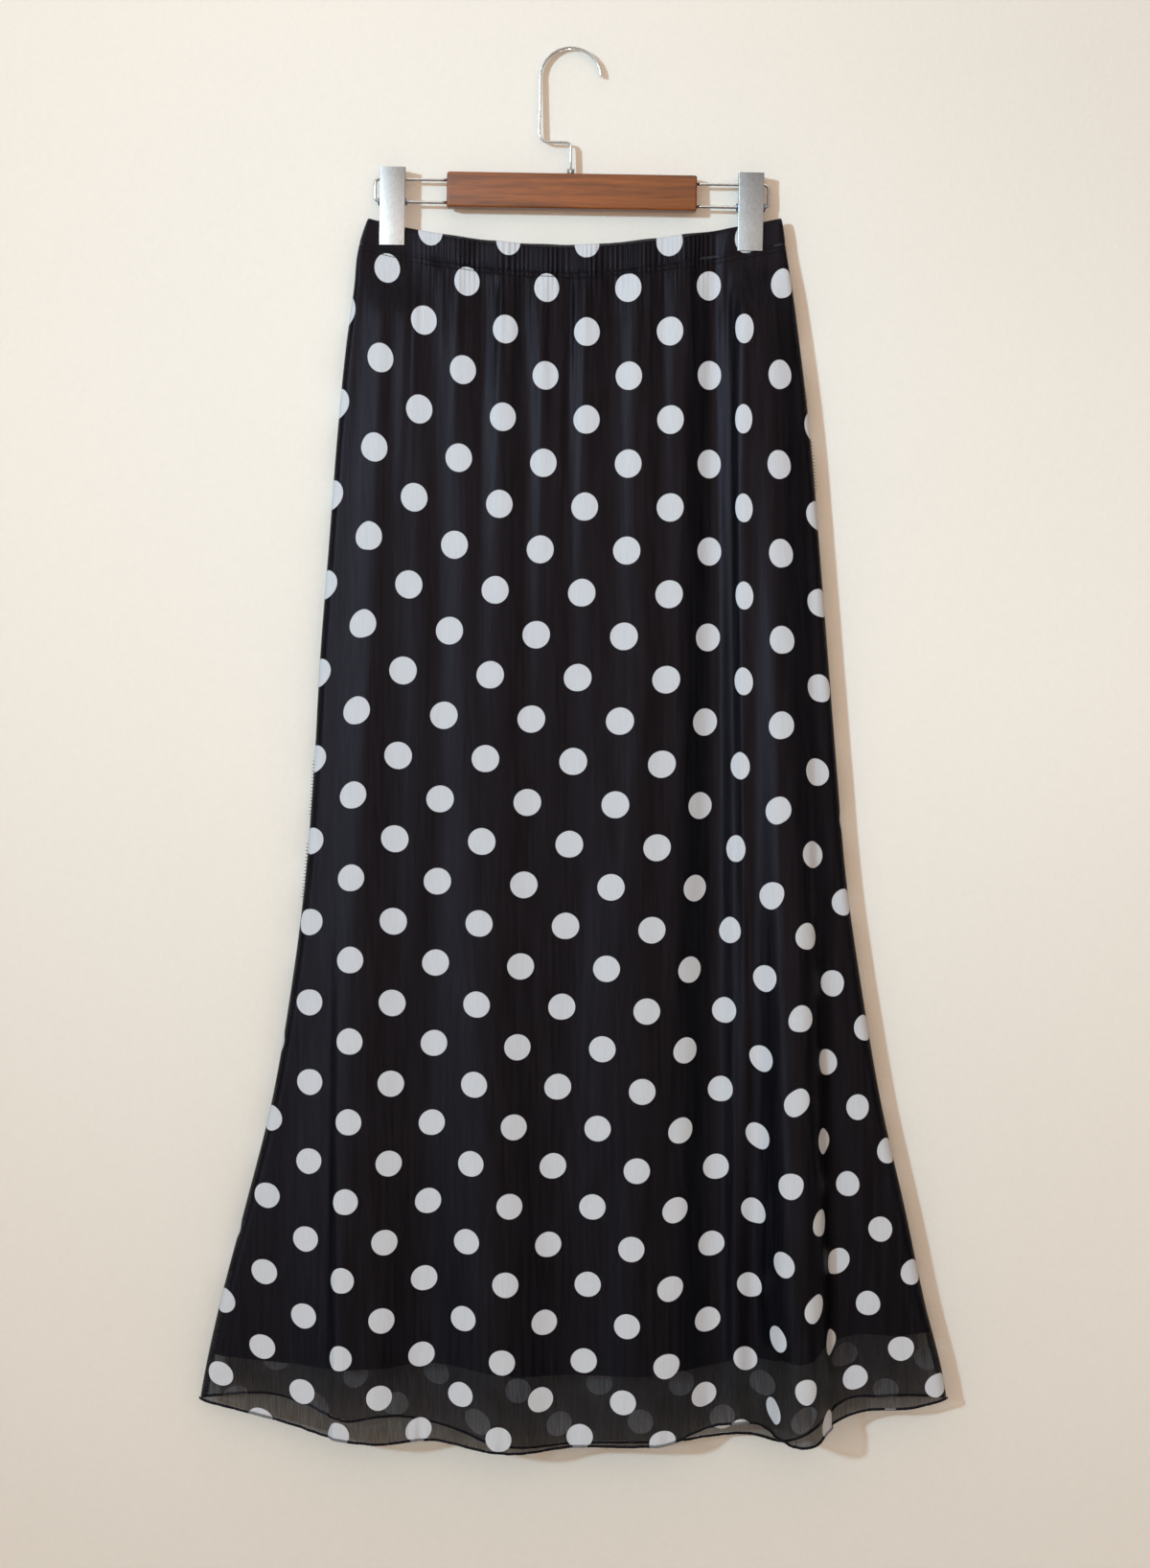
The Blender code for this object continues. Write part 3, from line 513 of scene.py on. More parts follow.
def bump(offset, left, right):
    """One round crest: 1 at its top and 0 where its reach to either side ends."""
    share = np.abs(offset) / np.where(offset < 0, left, right)
    return np.where(share < 1, np.cos(np.pi / 2 * np.minimum(share, 1)) ** 2, 0.0)


def ease(share):
    share = np.clip(share, 0.0, 1.0)
    return share * share * (3 - 2 * share)


def unit(vectors):
    return vectors / np.linalg.norm(vectors, axis=1)[:, None]


def length_along(points):
    return np.concatenate([[0], np.cumsum(np.linalg.norm(np.diff(points, axis=0), axis=1))])


def resample(at, length, points):
    """A line's points at other lengths along it."""
    return np.column_stack([np.interp(at, length, points[:, i]) for i in range(points.shape[1])])


def closed(points):
    return np.concatenate([points, points[:1]])


# The skirt's form


def pinch(x, drop):
    """How firmly the clips squeeze the cloth here, from 0 to 1."""
    near = np.minimum(np.abs(x - CLIP_X_LEFT), np.abs(x - CLIP_X_RIGHT))
    across = 1 - ease((near - PINCH_FLAT) / (PINCH_REACH - PINCH_FLAT))
    down = 1 - ease((drop - CASING_HEIGHT) / (PINCH_DROP - CASING_HEIGHT))
    return across * down


def side_share(x, drop):
    """The share of the way out from the skirt's middle to its side."""
    return np.clip(np.abs(x - SKIRT_CENTRE_X) / read(WIDTHS, "left", drop), 0, 1)


def waist_sag(x):
    """How far the waist's fold hangs below its corners."""
    power = np.where(x < SKIRT_CENTRE_X, SAG_POWER_LEFT, SAG_POWER_RIGHT)
    return WAIST_SAG * (1 - side_share(x, 0.0) ** power)


def section(drop, panel, samples=900):
    """Points (x, y) across one panel's outer face at this drop, from the left seam to the right.

    The sides turn round on a quarter circle, so the two panels meet edge to edge in the seams' plane,
    and the folds lie on the stretch between.
    """
    left = read(WIDTHS, "left", drop)
    right = read(WIDTHS, "right", drop)
    side = read(DEPTHS, "side_round", drop)
    swing = (1 - np.cos(np.linspace(0, np.pi, samples))) / 2
    x = -left + (left + right) * swing
    inward = np.minimum(x + left, right - x)
    ends = np.sqrt(np.maximum(side**2 - np.maximum(side - inward, 0) ** 2, 0))
    out = np.where(x < 0, -x / left, x / right)
    depth = ends + read(DEPTHS, panel.bulge, drop) * (1 - out**2)
    fade = 1 - out**SIDE_FADE_POWER
    for fold in panel.folds:
        offset = x - at_height(fold.x, drop)
        reach = at_height(fold.left, drop), at_height(fold.right, drop)
        depth = depth + at_height(fold.rise, drop) * bump(offset, *reach) * fade
    x = x + SKIRT_CENTRE_X
    flat = np.minimum(depth, PINCH_HALF_DEPTH)
    depth = depth + (flat - depth) * pinch(x, drop)
    seam_y = read(DEPTHS, "seam_y", drop)
    return np.column_stack([x, seam_y + panel.facing * (depth + SEAM_GAP / 2)])


def outward(points, facing):
    """Unit normals of a section, facing out of the skirt. At either end they point straight sideways."""
    along = np.gradient(points, axis=0)
    normal = unit(np.column_stack([along[:, 1], -along[:, 0]]) * -facing)
    normal[0] = (-1, 0)
    normal[-1] = (1, 0)
    return normal


def weight_at_hem(drop):
    """The share of the way down from the casing to the hem."""
    return (drop - CASING_HEIGHT) / (HEM_DROP - CASING_HEIGHT)


def hung(panel, share, x, x_at_hem):
    """How far below the waist's corners the cloth lies, at a share of the way down to the hem."""
    top = waist_sag(x) + CASING_HEIGHT
    hem = read(panel.hem, "drop", x_at_hem)
    return top + (HEM_DROP - top) * share + (hem - HEM_DROP) * share**HEM_REACH_POWER


# The print's own coordinates


def rows_down(drop):
    """The printed row, and parts of one, at a drop down the front: rows draw closer towards the hem."""
    inside = DOT_ROW_PITCH**2 - 4 * DOT_ROW_DRAW * (drop - DOT_FIRST_DROP)
    return (DOT_ROW_PITCH - np.sqrt(inside)) / (2 * DOT_ROW_DRAW)


def slipped(panel, row, col):
    """How far the print has slipped across at this row and column."""
    if not panel.slip:
        return np.zeros_like(col)
    rows = column(panel.slip, "row")
    by_row = np.array([np.interp(row, rows, column(panel.slip, name)) for name in Slip._fields[1:]])
    place = np.interp(col, SLIP_COLUMNS, np.arange(len(SLIP_COLUMNS)))
    low = np.clip(place.astype(int), 0, len(SLIP_COLUMNS) - 2)
    share = place - low
    level = np.arange(len(row))
    return by_row[low, level] * (1 - share) + by_row[low + 1, level] * share + squeezed(row, col)


def squeezed(row, col):
    """Near a steep side of a fold the print looks narrow: it is drawn in towards its column's middle."""
    total = np.zeros_like(col)
    for place in SQUEEZES:
        off = col - place.column
        firm = ease((row - place.top) / SQUEEZE_SET_IN) * ease((place.bottom - row) / SQUEEZE_SET_IN)
        shape = np.sign(off) * np.interp(np.abs(off), SQUEEZE_OFF, SQUEEZE_SHARE)
        total = total - place.amount * firm * shape
    return total


def print_places(panel, drop, across):
    """The print's own coordinates: columns across and rows down, a dot at each whole number and half."""
    row = rows_down(drop)
    col = across / DOT_HALF_PITCH
    for _ in range(SLIP_ROUNDS):
        col = (across - slipped(panel, row, col)) / DOT_HALF_PITCH
    lift = np.interp(col, column(panel.lift, "column"), column(panel.lift, "rows"))
    if panel is BACK:
        return np.column_stack([col / 2, row - lift + BACK_ROW_START])
    right = LIFT_START_RIGHT + (1 - LIFT_START_RIGHT) * np.minimum(row / LIFT_ROWS_RIGHT, 1)
    lift = lift * np.where(col < 0, np.minimum(row / LIFT_ROWS_LEFT, 1), right)
    return np.column_stack([col / 2, row - lift])


# Fine relief: what the gathering, the cloth's weight and its handling press into it


def wandering(turn, wander, seed):
    return wander.size * np.sin(turn / wander.pitches + wander.shift * seed)


def uneven_wave(place, pitch, seed):
    """Ripples whose pitch and height wander, as hand-gathered cloth does."""
    turn = 2 * np.pi * place / pitch
    drift = sum(wandering(turn, wander, seed) for wander in WAVE_WANDERS)
    height = 1 - WAVE_SWELL.size + wandering(turn, WAVE_SWELL, seed)
    return np.sin(turn + drift) * height


def crease_relief(panel, drop, across):
    """The listed creases: soft ridges and troughs that set in and fade out down the cloth."""
    rise = np.zeros_like(across)
    for crease in panel.creases:
        share = (drop - crease.top) / (crease.bottom - crease.top)
        if not 0 < share < 1:
            continue
        set_in, fade = CREASE_ENDS_IN_GATHERS if crease.top < CREASE_GATHERS_TO else CREASE_ENDS
        held = ease(share / set_in) * ease((1 - share) / fade)
        waver = CREASE_WAVER * math.sin(CREASE_WAVES * share + crease.grain)
        middle = crease.grain + crease.lean * share + waver
        width = crease.width * (CREASE_NARROW + CREASE_WIDENING * share)
        rise += crease.rise * held * np.exp(-(((across - middle) / width) ** 2))
    return rise


def gathers(panel, across):
    """The casing's gathers, from 0 at their tops down to -1: uneven, as elastic draws cloth up."""
    turn = 2 * np.pi * across
    drift = sum(wandering(turn, wander, panel.seed) for wander in GATHER_WANDERS)
    height = 1 - GATHER_SWELL.size + wandering(turn, GATHER_SWELL, panel.seed)
    return (np.cos(turn / GATHER_PITCH + drift) - 1) / 2 * height


def relief(panel, drop, across):
    """How far the cloth stands out from its form here: gathers that merge into ripples, then creases."""
    below = max(drop - CASING_HEIGHT, 0.0)
    seed = panel.seed
    rise = GATHER_RISE * math.exp(-below / GATHER_FADE) * gathers(panel, across)
    for row in STITCH_DROPS:
        rise = rise - STITCH_DEPTH * math.exp(-(((drop - row) / STITCH_DIP) ** 2))
    between = math.exp(-(((drop - sum(STITCH_DROPS) / 2) / PUCKER_REACH) ** 2))
    rise = rise + PUCKER_RISE * between * uneven_wave(across, PUCKER_PITCH, 4 * seed)
    for wave in WAVES:
        held = wave.rise * math.exp(-below / wave.fade) * (1 - math.exp(-below / wave.set_in))
        rise = rise + held * uneven_wave(across + wave.lean * below, wave.pitch, wave.seed * seed)
    return rise + crease_relief(panel, drop, across)


def hem_ripple(panel, drop, across):
    """The stretched edge waves in and out a little, most at the very hem."""
    held = HEM_RIPPLE * math.exp((drop - HEM_DROP) / HEM_RIPPLE_REACH)
    return held * uneven_wave(across, HEM_RIPPLE_PITCH, panel.seed + 1)


# The sheets


Sheet = namedtuple("Sheet", "points prints")


def row_drops(last, fine_top, fine_hem):
    """The drops of a sheet's rows: close under the casing, wider down the cloth and close at its hem."""
    close = np.arange(CASING_HEIGHT, ROWS_CLOSEST_TO, fine_top / 2)
    top = np.concatenate([close, np.arange(ROWS_CLOSEST_TO, ROWS_FINE_TO, ROWS_WIDENING * fine_top)])
    low = np.arange(last, last - ROWS_FINE_ABOVE_HEM, -fine_hem)[::-1]
    count = int((low[0] - top[-1]) / ROWS_MIDDLE)
    middle = np.linspace(top[-1], low[0], count + 1)[1:-1]
    return np.concatenate([top, middle, low])


def lay_sheet(panel, drops, count, insets, lined=False):
    """A sheet's points down one panel, from seam to seam, with the print's coordinates at each."""
    hem_half = read(WIDTHS, "left", HEM_DROP)
    points = []
    prints = []
    for drop in drops:
        share = weight_at_hem(drop)
        outline = section(drop, panel)
        length = length_along(outline)
        at = np.linspace(0, length[-1], count)
        flat = resample(at, length, outline)
        out = unit(resample(at, length, outward(outline, panel.facing)))
        across = at - np.interp(read(panel.grain, "x", drop), outline[:, 0], length)
        x = flat[:, 0] - SKIRT_CENTRE_X
        half = read(WIDTHS, "left", drop)
        at_hem = x + np.sign(x) * (hem_half - half) * np.abs(x / half) ** FLARE_POWER
        down = hung(panel, share, flat[:, 0], at_hem)
        side = side_share(flat[:, 0], drop)
        calm = (1 - side**SIDE_FADE_POWER) * (1 - PINCH_CALM * pinch(flat[:, 0], drop))
        rise = relief(panel, drop, across)
        inset = np.interp(drop, LINING_INSET_DROPS, insets)
        if lined:
            down = down + read(LINING_LOWER, "lower", x) * share**HEM_REACH_POWER
            inset = inset + (SIDE_INSET - inset) * side**SIDE_INSET_POWER
        else:
            rise = rise + hem_ripple(panel, drop, across)
        moved = flat + out * (rise * calm - inset)[:, None]
        points.append(np.column_stack([moved, WAIST_CORNER_Z - down]))
        prints.append(print_places(panel, np.full(count, drop), across))
    return Sheet(np.array(points), np.array(prints))


def mesh_sheet(side):
    drops = row_drops(HEM_DROP, *MESH_ROWS)
    return lay_sheet(PANELS[side], drops, COLUMNS[side], (MESH_INSET,) * 2)


def lining_sheet(side):
    drops = row_drops(LINING_HEM_DROP, *LINING_ROWS)
    return lay_sheet(PANELS[side], drops, LINING_COLUMNS, LINING_INSETS, True)


def grid_mesh(name, points, prints, flip, join_ends=False):
    """A fine grid laid through rows of points, with the print's coordinates as its UV map."""
    rows, columns, _ = points.shape
    bm = bmesh.new()
    bmesh.ops.create_grid(bm, x_segments=columns - 1, y_segments=rows - 1, size=1.0)
    mesh = bpy.data.meshes.new(name)
    bm.to_mesh(mesh)
    bm.free()
    places = points.reshape(-1, 3) * MM
    mesh.vertices.foreach_set("co", places.astype(np.float32).ravel())
    corners = np.empty(len(mesh.loops), dtype=np.int32)
    mesh.loops.foreach_get("vertex_index", corners)
    layer = mesh.uv_layers.new(name="cloth")
    uv = prints.reshape(-1, 2)[corners]
    layer.uv.foreach_set("vector", uv.astype(np.float32).ravel())
    if flip or join_ends:
        bm = bmesh.new()
        bm.from_mesh(mesh)
        if join_ends:
            bmesh.ops.remove_doubles(bm, verts=bm.verts, dist=0.02 * MM)
        if flip:
            bmesh.ops.reverse_faces(bm, faces=bm.faces)
        bm.to_mesh(mesh)
        bm.free()
    mesh.update()
    mesh.shade_smooth()
    return mesh


def tube_mesh(name, path, radius, sides, prints=None):
    """A round cord along a path: a grid rolled into a tube, its seam welded and its ends capped."""
    path = np.asarray(path, float)
    radius = np.broadcast_to(radius, len(path))
    along = unit(np.gradient(path, axis=0))
    side = np.cross(along, (0.0, 1.0, 0.0))
    # Where the path runs nearly front to back, its sideways direction is taken from X instead
    weak = np.linalg.norm(side, axis=1) < 0.2
    side[weak] = np.cross(along[weak], (1.0, 0.0, 0.0))
    side = unit(side)
    up = np.cross(side, along)
    turn = np.linspace(0, 2 * np.pi, sides + 1)
    ring = np.cos(turn)[None, :, None] * side[:, None] + np.sin(turn)[None, :, None] * up[:, None]
    points = path[:, None] + ring * radius[:, None, None]
    if prints is None:
        prints = np.column_stack([np.zeros(len(points)), np.arange(len(points))])
    spread = np.repeat(prints[:, None], sides + 1, axis=1)
    mesh = grid_mesh(name, points, spread, flip=False, join_ends=True)
    bm = bmesh.new()
    bm.from_mesh(mesh)
    rims = [edge for edge in bm.edges if edge.is_boundary]
    bmesh.ops.holes_fill(bm, edges=rims, sides=sides + 1)
    bmesh.ops.recalc_face_normals(bm, faces=bm.faces)
    bm.to_mesh(mesh)
    bm.free()
    mesh.shade_smooth()
    return mesh


def add_piece(mesh, finish, stands_for=None):
    """Links a finished piece, which rides on the part and may take a plain solid's place."""
    item = bpy.data.objects.new(mesh.name, mesh)
    bpy.context.scene.collection.objects.link(item)
    mesh.materials.append(finish)
    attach(item, "root")
    if stands_for:
        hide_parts(stands_for)
    return item


def hang_sheet(name, side, sheet, finish, stands_for):
    """Makes a hung sheet's piece."""
    mesh = grid_mesh(name, sheet.points, sheet.prints, flip=side == "front")
    item = add_piece(mesh, finish, stands_for)


# Materials


def linear(hex_text):
    """A colour's linear values, from its sRGB hex."""
    values = [int(hex_text[i : i + 2], 16) / 255 for i in (1, 3, 5)]
    return tuple(v / 12.92 if v <= 0.04045 else ((v + 0.055) / 1.055) ** 2.4 for v in values)


def shade(colour, share=1.0):
    """A linear colour for a socket, made darker or lighter by a share."""
    return (*[share * value for value in colour], 1.0)


def add_node(tree, kind, inputs, **options):
    """Adds a node with its own options. Each input is a value, or a socket or a node that feeds it."""
    node = tree.nodes.new("ShaderNode" + kind)
    for name, value in options.items():
        setattr(node, name, value)
    for name, value in inputs.items():
        if isinstance(value, bpy.types.Node):
            value = next(socket for socket in value.outputs if socket.enabled)
        if isinstance(value, bpy.types.NodeSocket):
            tree.links.new(value, node.inputs[name])
        else:
            node.inputs[name].default_value = value
    return node


def new_material(name):
    """An empty material, its nodes, and the object's own coordinates."""
    made = bpy.data.materials.new(name)
    made.use_nodes = True
    tree = made.node_tree
    tree.nodes.clear()
    return made, tree, add_node(tree, "TexCoord", {}).outputs["Object"]


def add_lines(tree, place, close, settings):
    """Long or short streaks: close says how many lie in a metre along X, Y and Z."""
    drawn = add_node(tree, "Mapping", {"Vector": place, "Scale": close})
    return add_node(tree, "TexNoise", {"Vector": drawn, "Scale": 1.0, **settings})


def add_surface(tree, colour, height, strength, depth, settings):
    """The shader, with its colour and a fine relief of so much strength and depth in metres."""
    relief_node = add_node(tree, "Bump", {"Strength": strength, "Distance": depth, "Height": height})
    return add_node(tree, "BsdfPrincipled", {"Base Color": colour, "Normal": relief_node, **settings})


def dot_mask(tree, cloth):
    """1 inside a printed dot: one at each whole column and row of the print, and one between four."""
    edge = add_node(tree, "TexNoise", {"Vector": cloth, "Scale": 9.0, "Detail": 2.0})
    squares = []
    for shift in (0.5, 1.0):
        moved = add_node(tree, "VectorMath", {0: cloth, 1: (shift, shift, 0.5)}, operation="ADD")
        inside = add_node(tree, "VectorMath", {0: moved}, operation="FRACTION")
        centred = add_node(tree, "VectorMath", {0: inside, 1: (0.5, 0.5, 0.5)}, operation="SUBTRACT")
        share = add_node(tree, "VectorMath", {0: centred, 1: (*DOT_HALF, 1.0)}, operation="DIVIDE")
        squares.append(add_node(tree, "VectorMath", {0: share, 1: share}, operation="DOT_PRODUCT"))
    near = add_node(tree, "Math", {0: squares[0], 1: squares[1]}, operation="MINIMUM")
    reach = add_node(tree, "Math", {0: edge, 1: DOT_WANDER, 2: near}, operation="MULTIPLY_ADD")
    return add_node(
        tree,
        "MapRange",
        {"Value": reach, "From Min": 1 + DOT_SOFT, "From Max": 1.0},
        interpolation_type="SMOOTHSTEP",
    )


def dotted_mesh(settings, name, coverage=None, painted_ink_light=1.0):
    """Stretch mesh: a fine knitted net in black nylon, see-through in one layer, its dots printed in
    a matt pale ink that fills the net's holes. Rolled tight, as at a hem, it is solid and hides most
    of the print: there it has no coverage."""
    made, tree, place = new_material(name)
    dots = dot_mask(tree, add_node(tree, "UVMap", {}, uv_map="cloth"))
    if coverage is None:
        dots = add_node(tree, "Math", {0: dots, 1: ROLLED_PRINT}, operation="MULTIPLY")
    # The net's ribs lie under half a millimetre apart, too fine to show, so they are drawn twice as coarse
    ribs = add_lines(tree, place, (900.0, 900.0, 60.0), {"Detail": 3.0})
    slub = add_node(tree, "TexNoise", {"Vector": place, "Scale": 22.0, "Detail": 2.0})
    streak = add_lines(tree, place, (330.0, 330.0, 14.0), {"Detail": 4.0, "Roughness": 0.6})
    tone = add_node(tree, "MapRange", {"Value": streak, "From Min": 0.36, "From Max": 0.7})
    tones = {6: shade(linear("#06070a")), 7: shade(linear("#12141a"))}
    thread = add_node(tree, "Mix", {0: tone, **tones}, data_type="RGBA")
    # The back's ink is painted lighter by its share, as painted light
    inks = {6: shade(settings.dot_colour, painted_ink_light), 7: shade(settings.dot_colour, INK_DARKEST * painted_ink_light)}
    ink = add_node(tree, "Mix", {0: ribs, **inks}, data_type="RGBA")
    colour = add_node(tree, "Mix", {0: dots, 6: thread, 7: ink}, data_type="RGBA")
    rough = add_node(tree, "Math", {0: dots, 1: INK_ROUGHER, 2: THREAD_ROUGH}, operation="MULTIPLY_ADD")
    surface = {
        "Roughness": rough,
        "IOR": 1.5,
        "Specular IOR Level": 0.086,
        "Specular Tint": shade(linear("#ffe7f6")),
    }
    if coverage is not None:
        least = coverage - (WEAVE_COVER + SLUB_COVER) / 2
        weave = add_node(tree, "Math", {0: ribs, 1: WEAVE_COVER, 2: least}, operation="MULTIPLY_ADD")
        cover = add_node(tree, "Math", {0: slub, 1: SLUB_COVER, 2: weave}, operation="MULTIPLY_ADD")
        filled = add_node(tree, "Math", {0: dots, 1: INK_COVER}, operation="MULTIPLY")
        surface["Alpha"] = add_node(tree, "Math", {0: cover, 1: filled}, operation="MAXIMUM")
    add_node(tree, "OutputMaterial", {"Surface": add_surface(tree, colour, ribs, 0.35, 0.00025, surface)})
    return made


def spun_fibre(name, colour, dark, close, detail, strength, depth, surface):
    """Dull fibre in two close tones: lining knit and sewing thread are both made of it."""
    made, tree, place = new_material(name)
    fibre = add_lines(tree, place, close, {"Detail": detail})
    mixed = add_node(tree, "Mix", {0: fibre, 6: shade(colour, dark), 7: shade(colour)}, data_type="RGBA")
    add_node(tree, "OutputMaterial", {"Surface": add_surface(tree, mixed, fibre, strength, depth, surface)})
    return made


def black_jersey(settings):
    """Knitted polyester lining, dyed black: dead matt, with faint upright ribs."""
    surface = {"Roughness": 0.75, "Specular IOR Level": 0.05}
    close = (700.0, 700.0, 120.0)
    return spun_fibre("black_jersey", settings.lining_colour, 0.7, close, 2.0, 0.3, 0.0003, surface)


def sewing_thread(name, hex_text):
    """Spun polyester thread: twisted, with a soft dull shine."""
    surface = {"Roughness": 0.6, "Specular IOR Level": 0.15}
    close = (1800.0, 1800.0, 1800.0)
    return spun_fibre(name, linear(hex_text), 0.6, close, 1.0, 0.4, 0.0001, surface)


def oiled_wood(settings):
    """Walnut-stained hardwood, oiled: long straight grain along the bar, fine dark pores, a low sheen."""
    made, tree, place = new_material("oiled_walnut")
    level = add_node(tree, "Mapping", {"Vector": place, "Rotation": (0.0, -HANGER_LEAN, 0.0)})
    uneven = {"Detail": 5.0, "Roughness": 0.6, "Distortion": 0.6}
    grain = add_lines(tree, level, (9.0, 60.0, 150.0), uneven)
    pores = add_lines(tree, level, (45.0, 500.0, 1300.0), {"Detail": 3.0})
    tones = add_node(tree, "ValToRGB", {"Fac": grain})
    for stop, position, share in zip(tones.color_ramp.elements, (0.3, 0.72), (0.42, 1.32)):
        stop.position = position
        stop.color = shade(settings.wood_colour, share)
    limits = {"From Min": 0.3, "From Max": 0.46, "To Min": 0.6, "To Max": 0.0}
    deep = add_node(tree, "MapRange", {"Value": pores, **limits})
    pored = {0: deep, 6: tones, 7: shade(settings.wood_colour, 0.35)}
    colour = add_node(tree, "Mix", pored, data_type="RGBA")
    rough = add_node(tree, "MapRange", {"Value": grain, "To Min": 0.36, "To Max": 0.52})
    surface = add_surface(tree, colour, pores, 0.25, 0.0002, {"IOR": 1.5, "Roughness": rough})
    add_node(tree, "OutputMaterial", {"Surface": surface})
    return made


def bare_metal(name, hex_text, roughness, close, painted_shade=None):
    """A metal with the faint lines its making left: close says how many lie in a metre along X, Y and Z.

    Given a painted shade, its colour is painted dark at that shade's high height and bright at its low one:
    painted shade and a painted reflection.
    """
    made, tree, place = new_material(name)
    lines = add_lines(tree, place, close, {"Detail": 4.0})
    tones = {6: shade(linear(hex_text), 0.7), 7: shade(linear(hex_text), 1.1)}
    colour = add_node(tree, "Mix", {0: lines, **tones}, data_type="RGBA")
    # Painted shade and reflection: the colour is painted darker towards the top and lighter below
    if painted_shade:
        height = add_node(tree, "SeparateXYZ", {"Vector": place}).outputs["Z"]
        limits = {"From Min": painted_shade.low * MM, "From Max": painted_shade.high * MM}
        tones = {"To Min": painted_shade.bright, "To Max": painted_shade.dull}
        share = add_node(tree, "MapRange", {"Value": height, **limits, **tones})
        painted_shading = {0: 1.0, 6: colour, 7: share}
        colour = add_node(tree, "Mix", painted_shading, data_type="RGBA", blend_type="MULTIPLY")
    limits = {"To Min": roughness * 0.75, "To Max": roughness * 1.25}
    rough = add_node(tree, "MapRange", {"Value": lines, **limits})
    surface = add_surface(tree, colour, lines, 0.12, 0.00008, {"Metallic": 1.0, "Roughness": rough})
    add_node(tree, "OutputMaterial", {"Surface": surface})
    return made


def chrome_plate():
    """Bright chrome on steel wire and strip: near a mirror, a little cold."""
    return bare_metal("chrome_plate", "#c2beb9", 0.27, (300.0, 300.0, 300.0))


def brushed_steel(side):
    """Plain pressed steel, brushed across. The left clip's colour is painted lighter than the right one's, as
    painted light from the key on the left, and both are painted darker at the top and lighter below, as
    painted shade and reflection."""
    return bare_metal(f"brushed_steel_{side}", *CLIP_LIT_AND_SHADED_TONES[side], (900.0, 900.0, 420.0), CLIP_PAINTED_SHADE)


def blue_zinc():
    """Zinc plate with a blue passivate, as on small washers and rivets."""
    return bare_metal("blue_zinc_plate", "#76879f", 0.34, (900.0, 900.0, 900.0))


# Settings a user would change


COLOUR = {"subtype": "COLOR", "min": 0, "max": 1}
FACTOR = {"subtype": "FACTOR", "min": 0.1, "max": 1.0}
LENGTH = {"subtype": "DISTANCE", "unit": "LENGTH"}


class SkirtCloth(bpy.types.PropertyGroup):
    dot_colour: bpy.props.FloatVectorProperty(
        name="Dots", description="Colour of the printed dots", default=linear("#b9bfc7"), **COLOUR
    )
    front_cover: bpy.props.FloatProperty(
        name="Front's cover",
        description="Share of the light that the front's mesh stops",
        default=0.78,
        **FACTOR,
    )
    back_cover: bpy.props.FloatProperty(
        name="Back's cover",
        description="Share of the light that the back's mesh stops: its net is drawn more open",
        default=0.54,
        **FACTOR,
    )
    lining_colour: bpy.props.FloatVectorProperty(
        name="Lining", description="Colour of the lining", default=linear("#09090b"), **COLOUR
    )
    hem_cord: bpy.props.FloatProperty(
        name="Rolled hem",
        description="Half the thickness of the rolled hem",
        default=0.00108,
        min=0.0003,
        max=0.002,
        **LENGTH,
    )


class SkirtHanger(bpy.types.PropertyGroup):
    wood_colour: bpy.props.FloatVectorProperty(
        name="Wood", description="Colour of the oiled bar", default=linear("#7c400c"), **COLOUR
    )
    edge_round: bpy.props.FloatProperty(
        name="Bar's edges",
        description="Radius of the bar's rounded edges",
        default=0.0018,
        min=0.0002,
        max=0.005,
        **LENGTH,
    )


class SkirtStage(bpy.types.PropertyGroup):
    wall_colour: bpy.props.FloatVectorProperty(
        name="Wall", description="Colour of the wall behind", default=linear("#d4d2cc"), **COLOUR
    )
    floor_drop: bpy.props.FloatProperty(
        name="Floor",
        description="How far the floor lies below the hook",
        default=1.3,
        min=1.12,
        max=3.0,
        **LENGTH,
    )
    key_light: bpy.props.FloatProperty(
        name="Key light", description="Strength of the light from the left", default=1.0, min=0.0, max=10.0
    )
    fill_light: bpy.props.FloatProperty(
        name="Fill light", description="Strength of the light from all round", default=1.0, min=0.0, max=10.0
    )


# The skirt's pieces


class SKIRT_OT_panels(bpy.types.Operator):
    """Lay the two panels of dotted mesh from the casing down to their hems"""

    bl_idname = "skirt.panels"
    bl_label = "Mesh panels"

    def execute(self, context):
        settings = context.scene.skirt_cloth
        # The back's dots are painted lighter, as painted light
        for side, cover, painted_ink_light in (
            ("front", settings.front_cover, 1.0),
            ("back", settings.back_cover, BACK_INK_PAINTED_LIGHT),
        ):
            finish = dotted_mesh(settings, f"dotted_nylon_mesh_{side}", cover, painted_ink_light)
            hang_sheet(f"{side}_mesh", side, mesh_sheet(side), finish, f"{side}_panel")
        return {"FINISHED"}


class SKIRT_OT_linings(bpy.types.Operator):
    """Lay the front and back lining inside the panels"""

    bl_idname = "skirt.linings"
    bl_label = "Linings"

    def execute(self, context):
        finish = black_jersey(context.scene.skirt_cloth)
        for side in PANELS:
            sheet = lining_sheet(side)
            hang_sheet(f"{side}_lining_cloth", side, sheet, finish, f"{side}_lining")
            hem = tube_mesh(f"{side}_lining_hem", sheet.points[-1], LINING_CORD, 6)
            add_piece(hem, finish)
        return {"FINISHED"}


def casing_loop(drop):
    """The whole way round the skirt at this drop, at even lengths: across the front, then the back.

    Gives the points, how far each lies from its panel's grain line, and which lie on the back.
    """
    front = section(drop, FRONT)
    back = section(drop, BACK)[::-1]
    loop = closed(np.concatenate([front, back]))
    length = length_along(loop)
    at = np.linspace(0, length[-1], CASING_LOOP_POINTS + 1)[:-1]
    is_back = at > length[len(front)]
    line = np.interp(FRONT_GRAIN[0].x, front[:, 0], length[: len(front)])
    line_back = np.interp(BACK_GRAIN[0].x, back[::-1, 0], length[len(front) : -1][::-1])
    return resample(at, length, loop), np.where(is_back, line_back - at, at - line), is_back


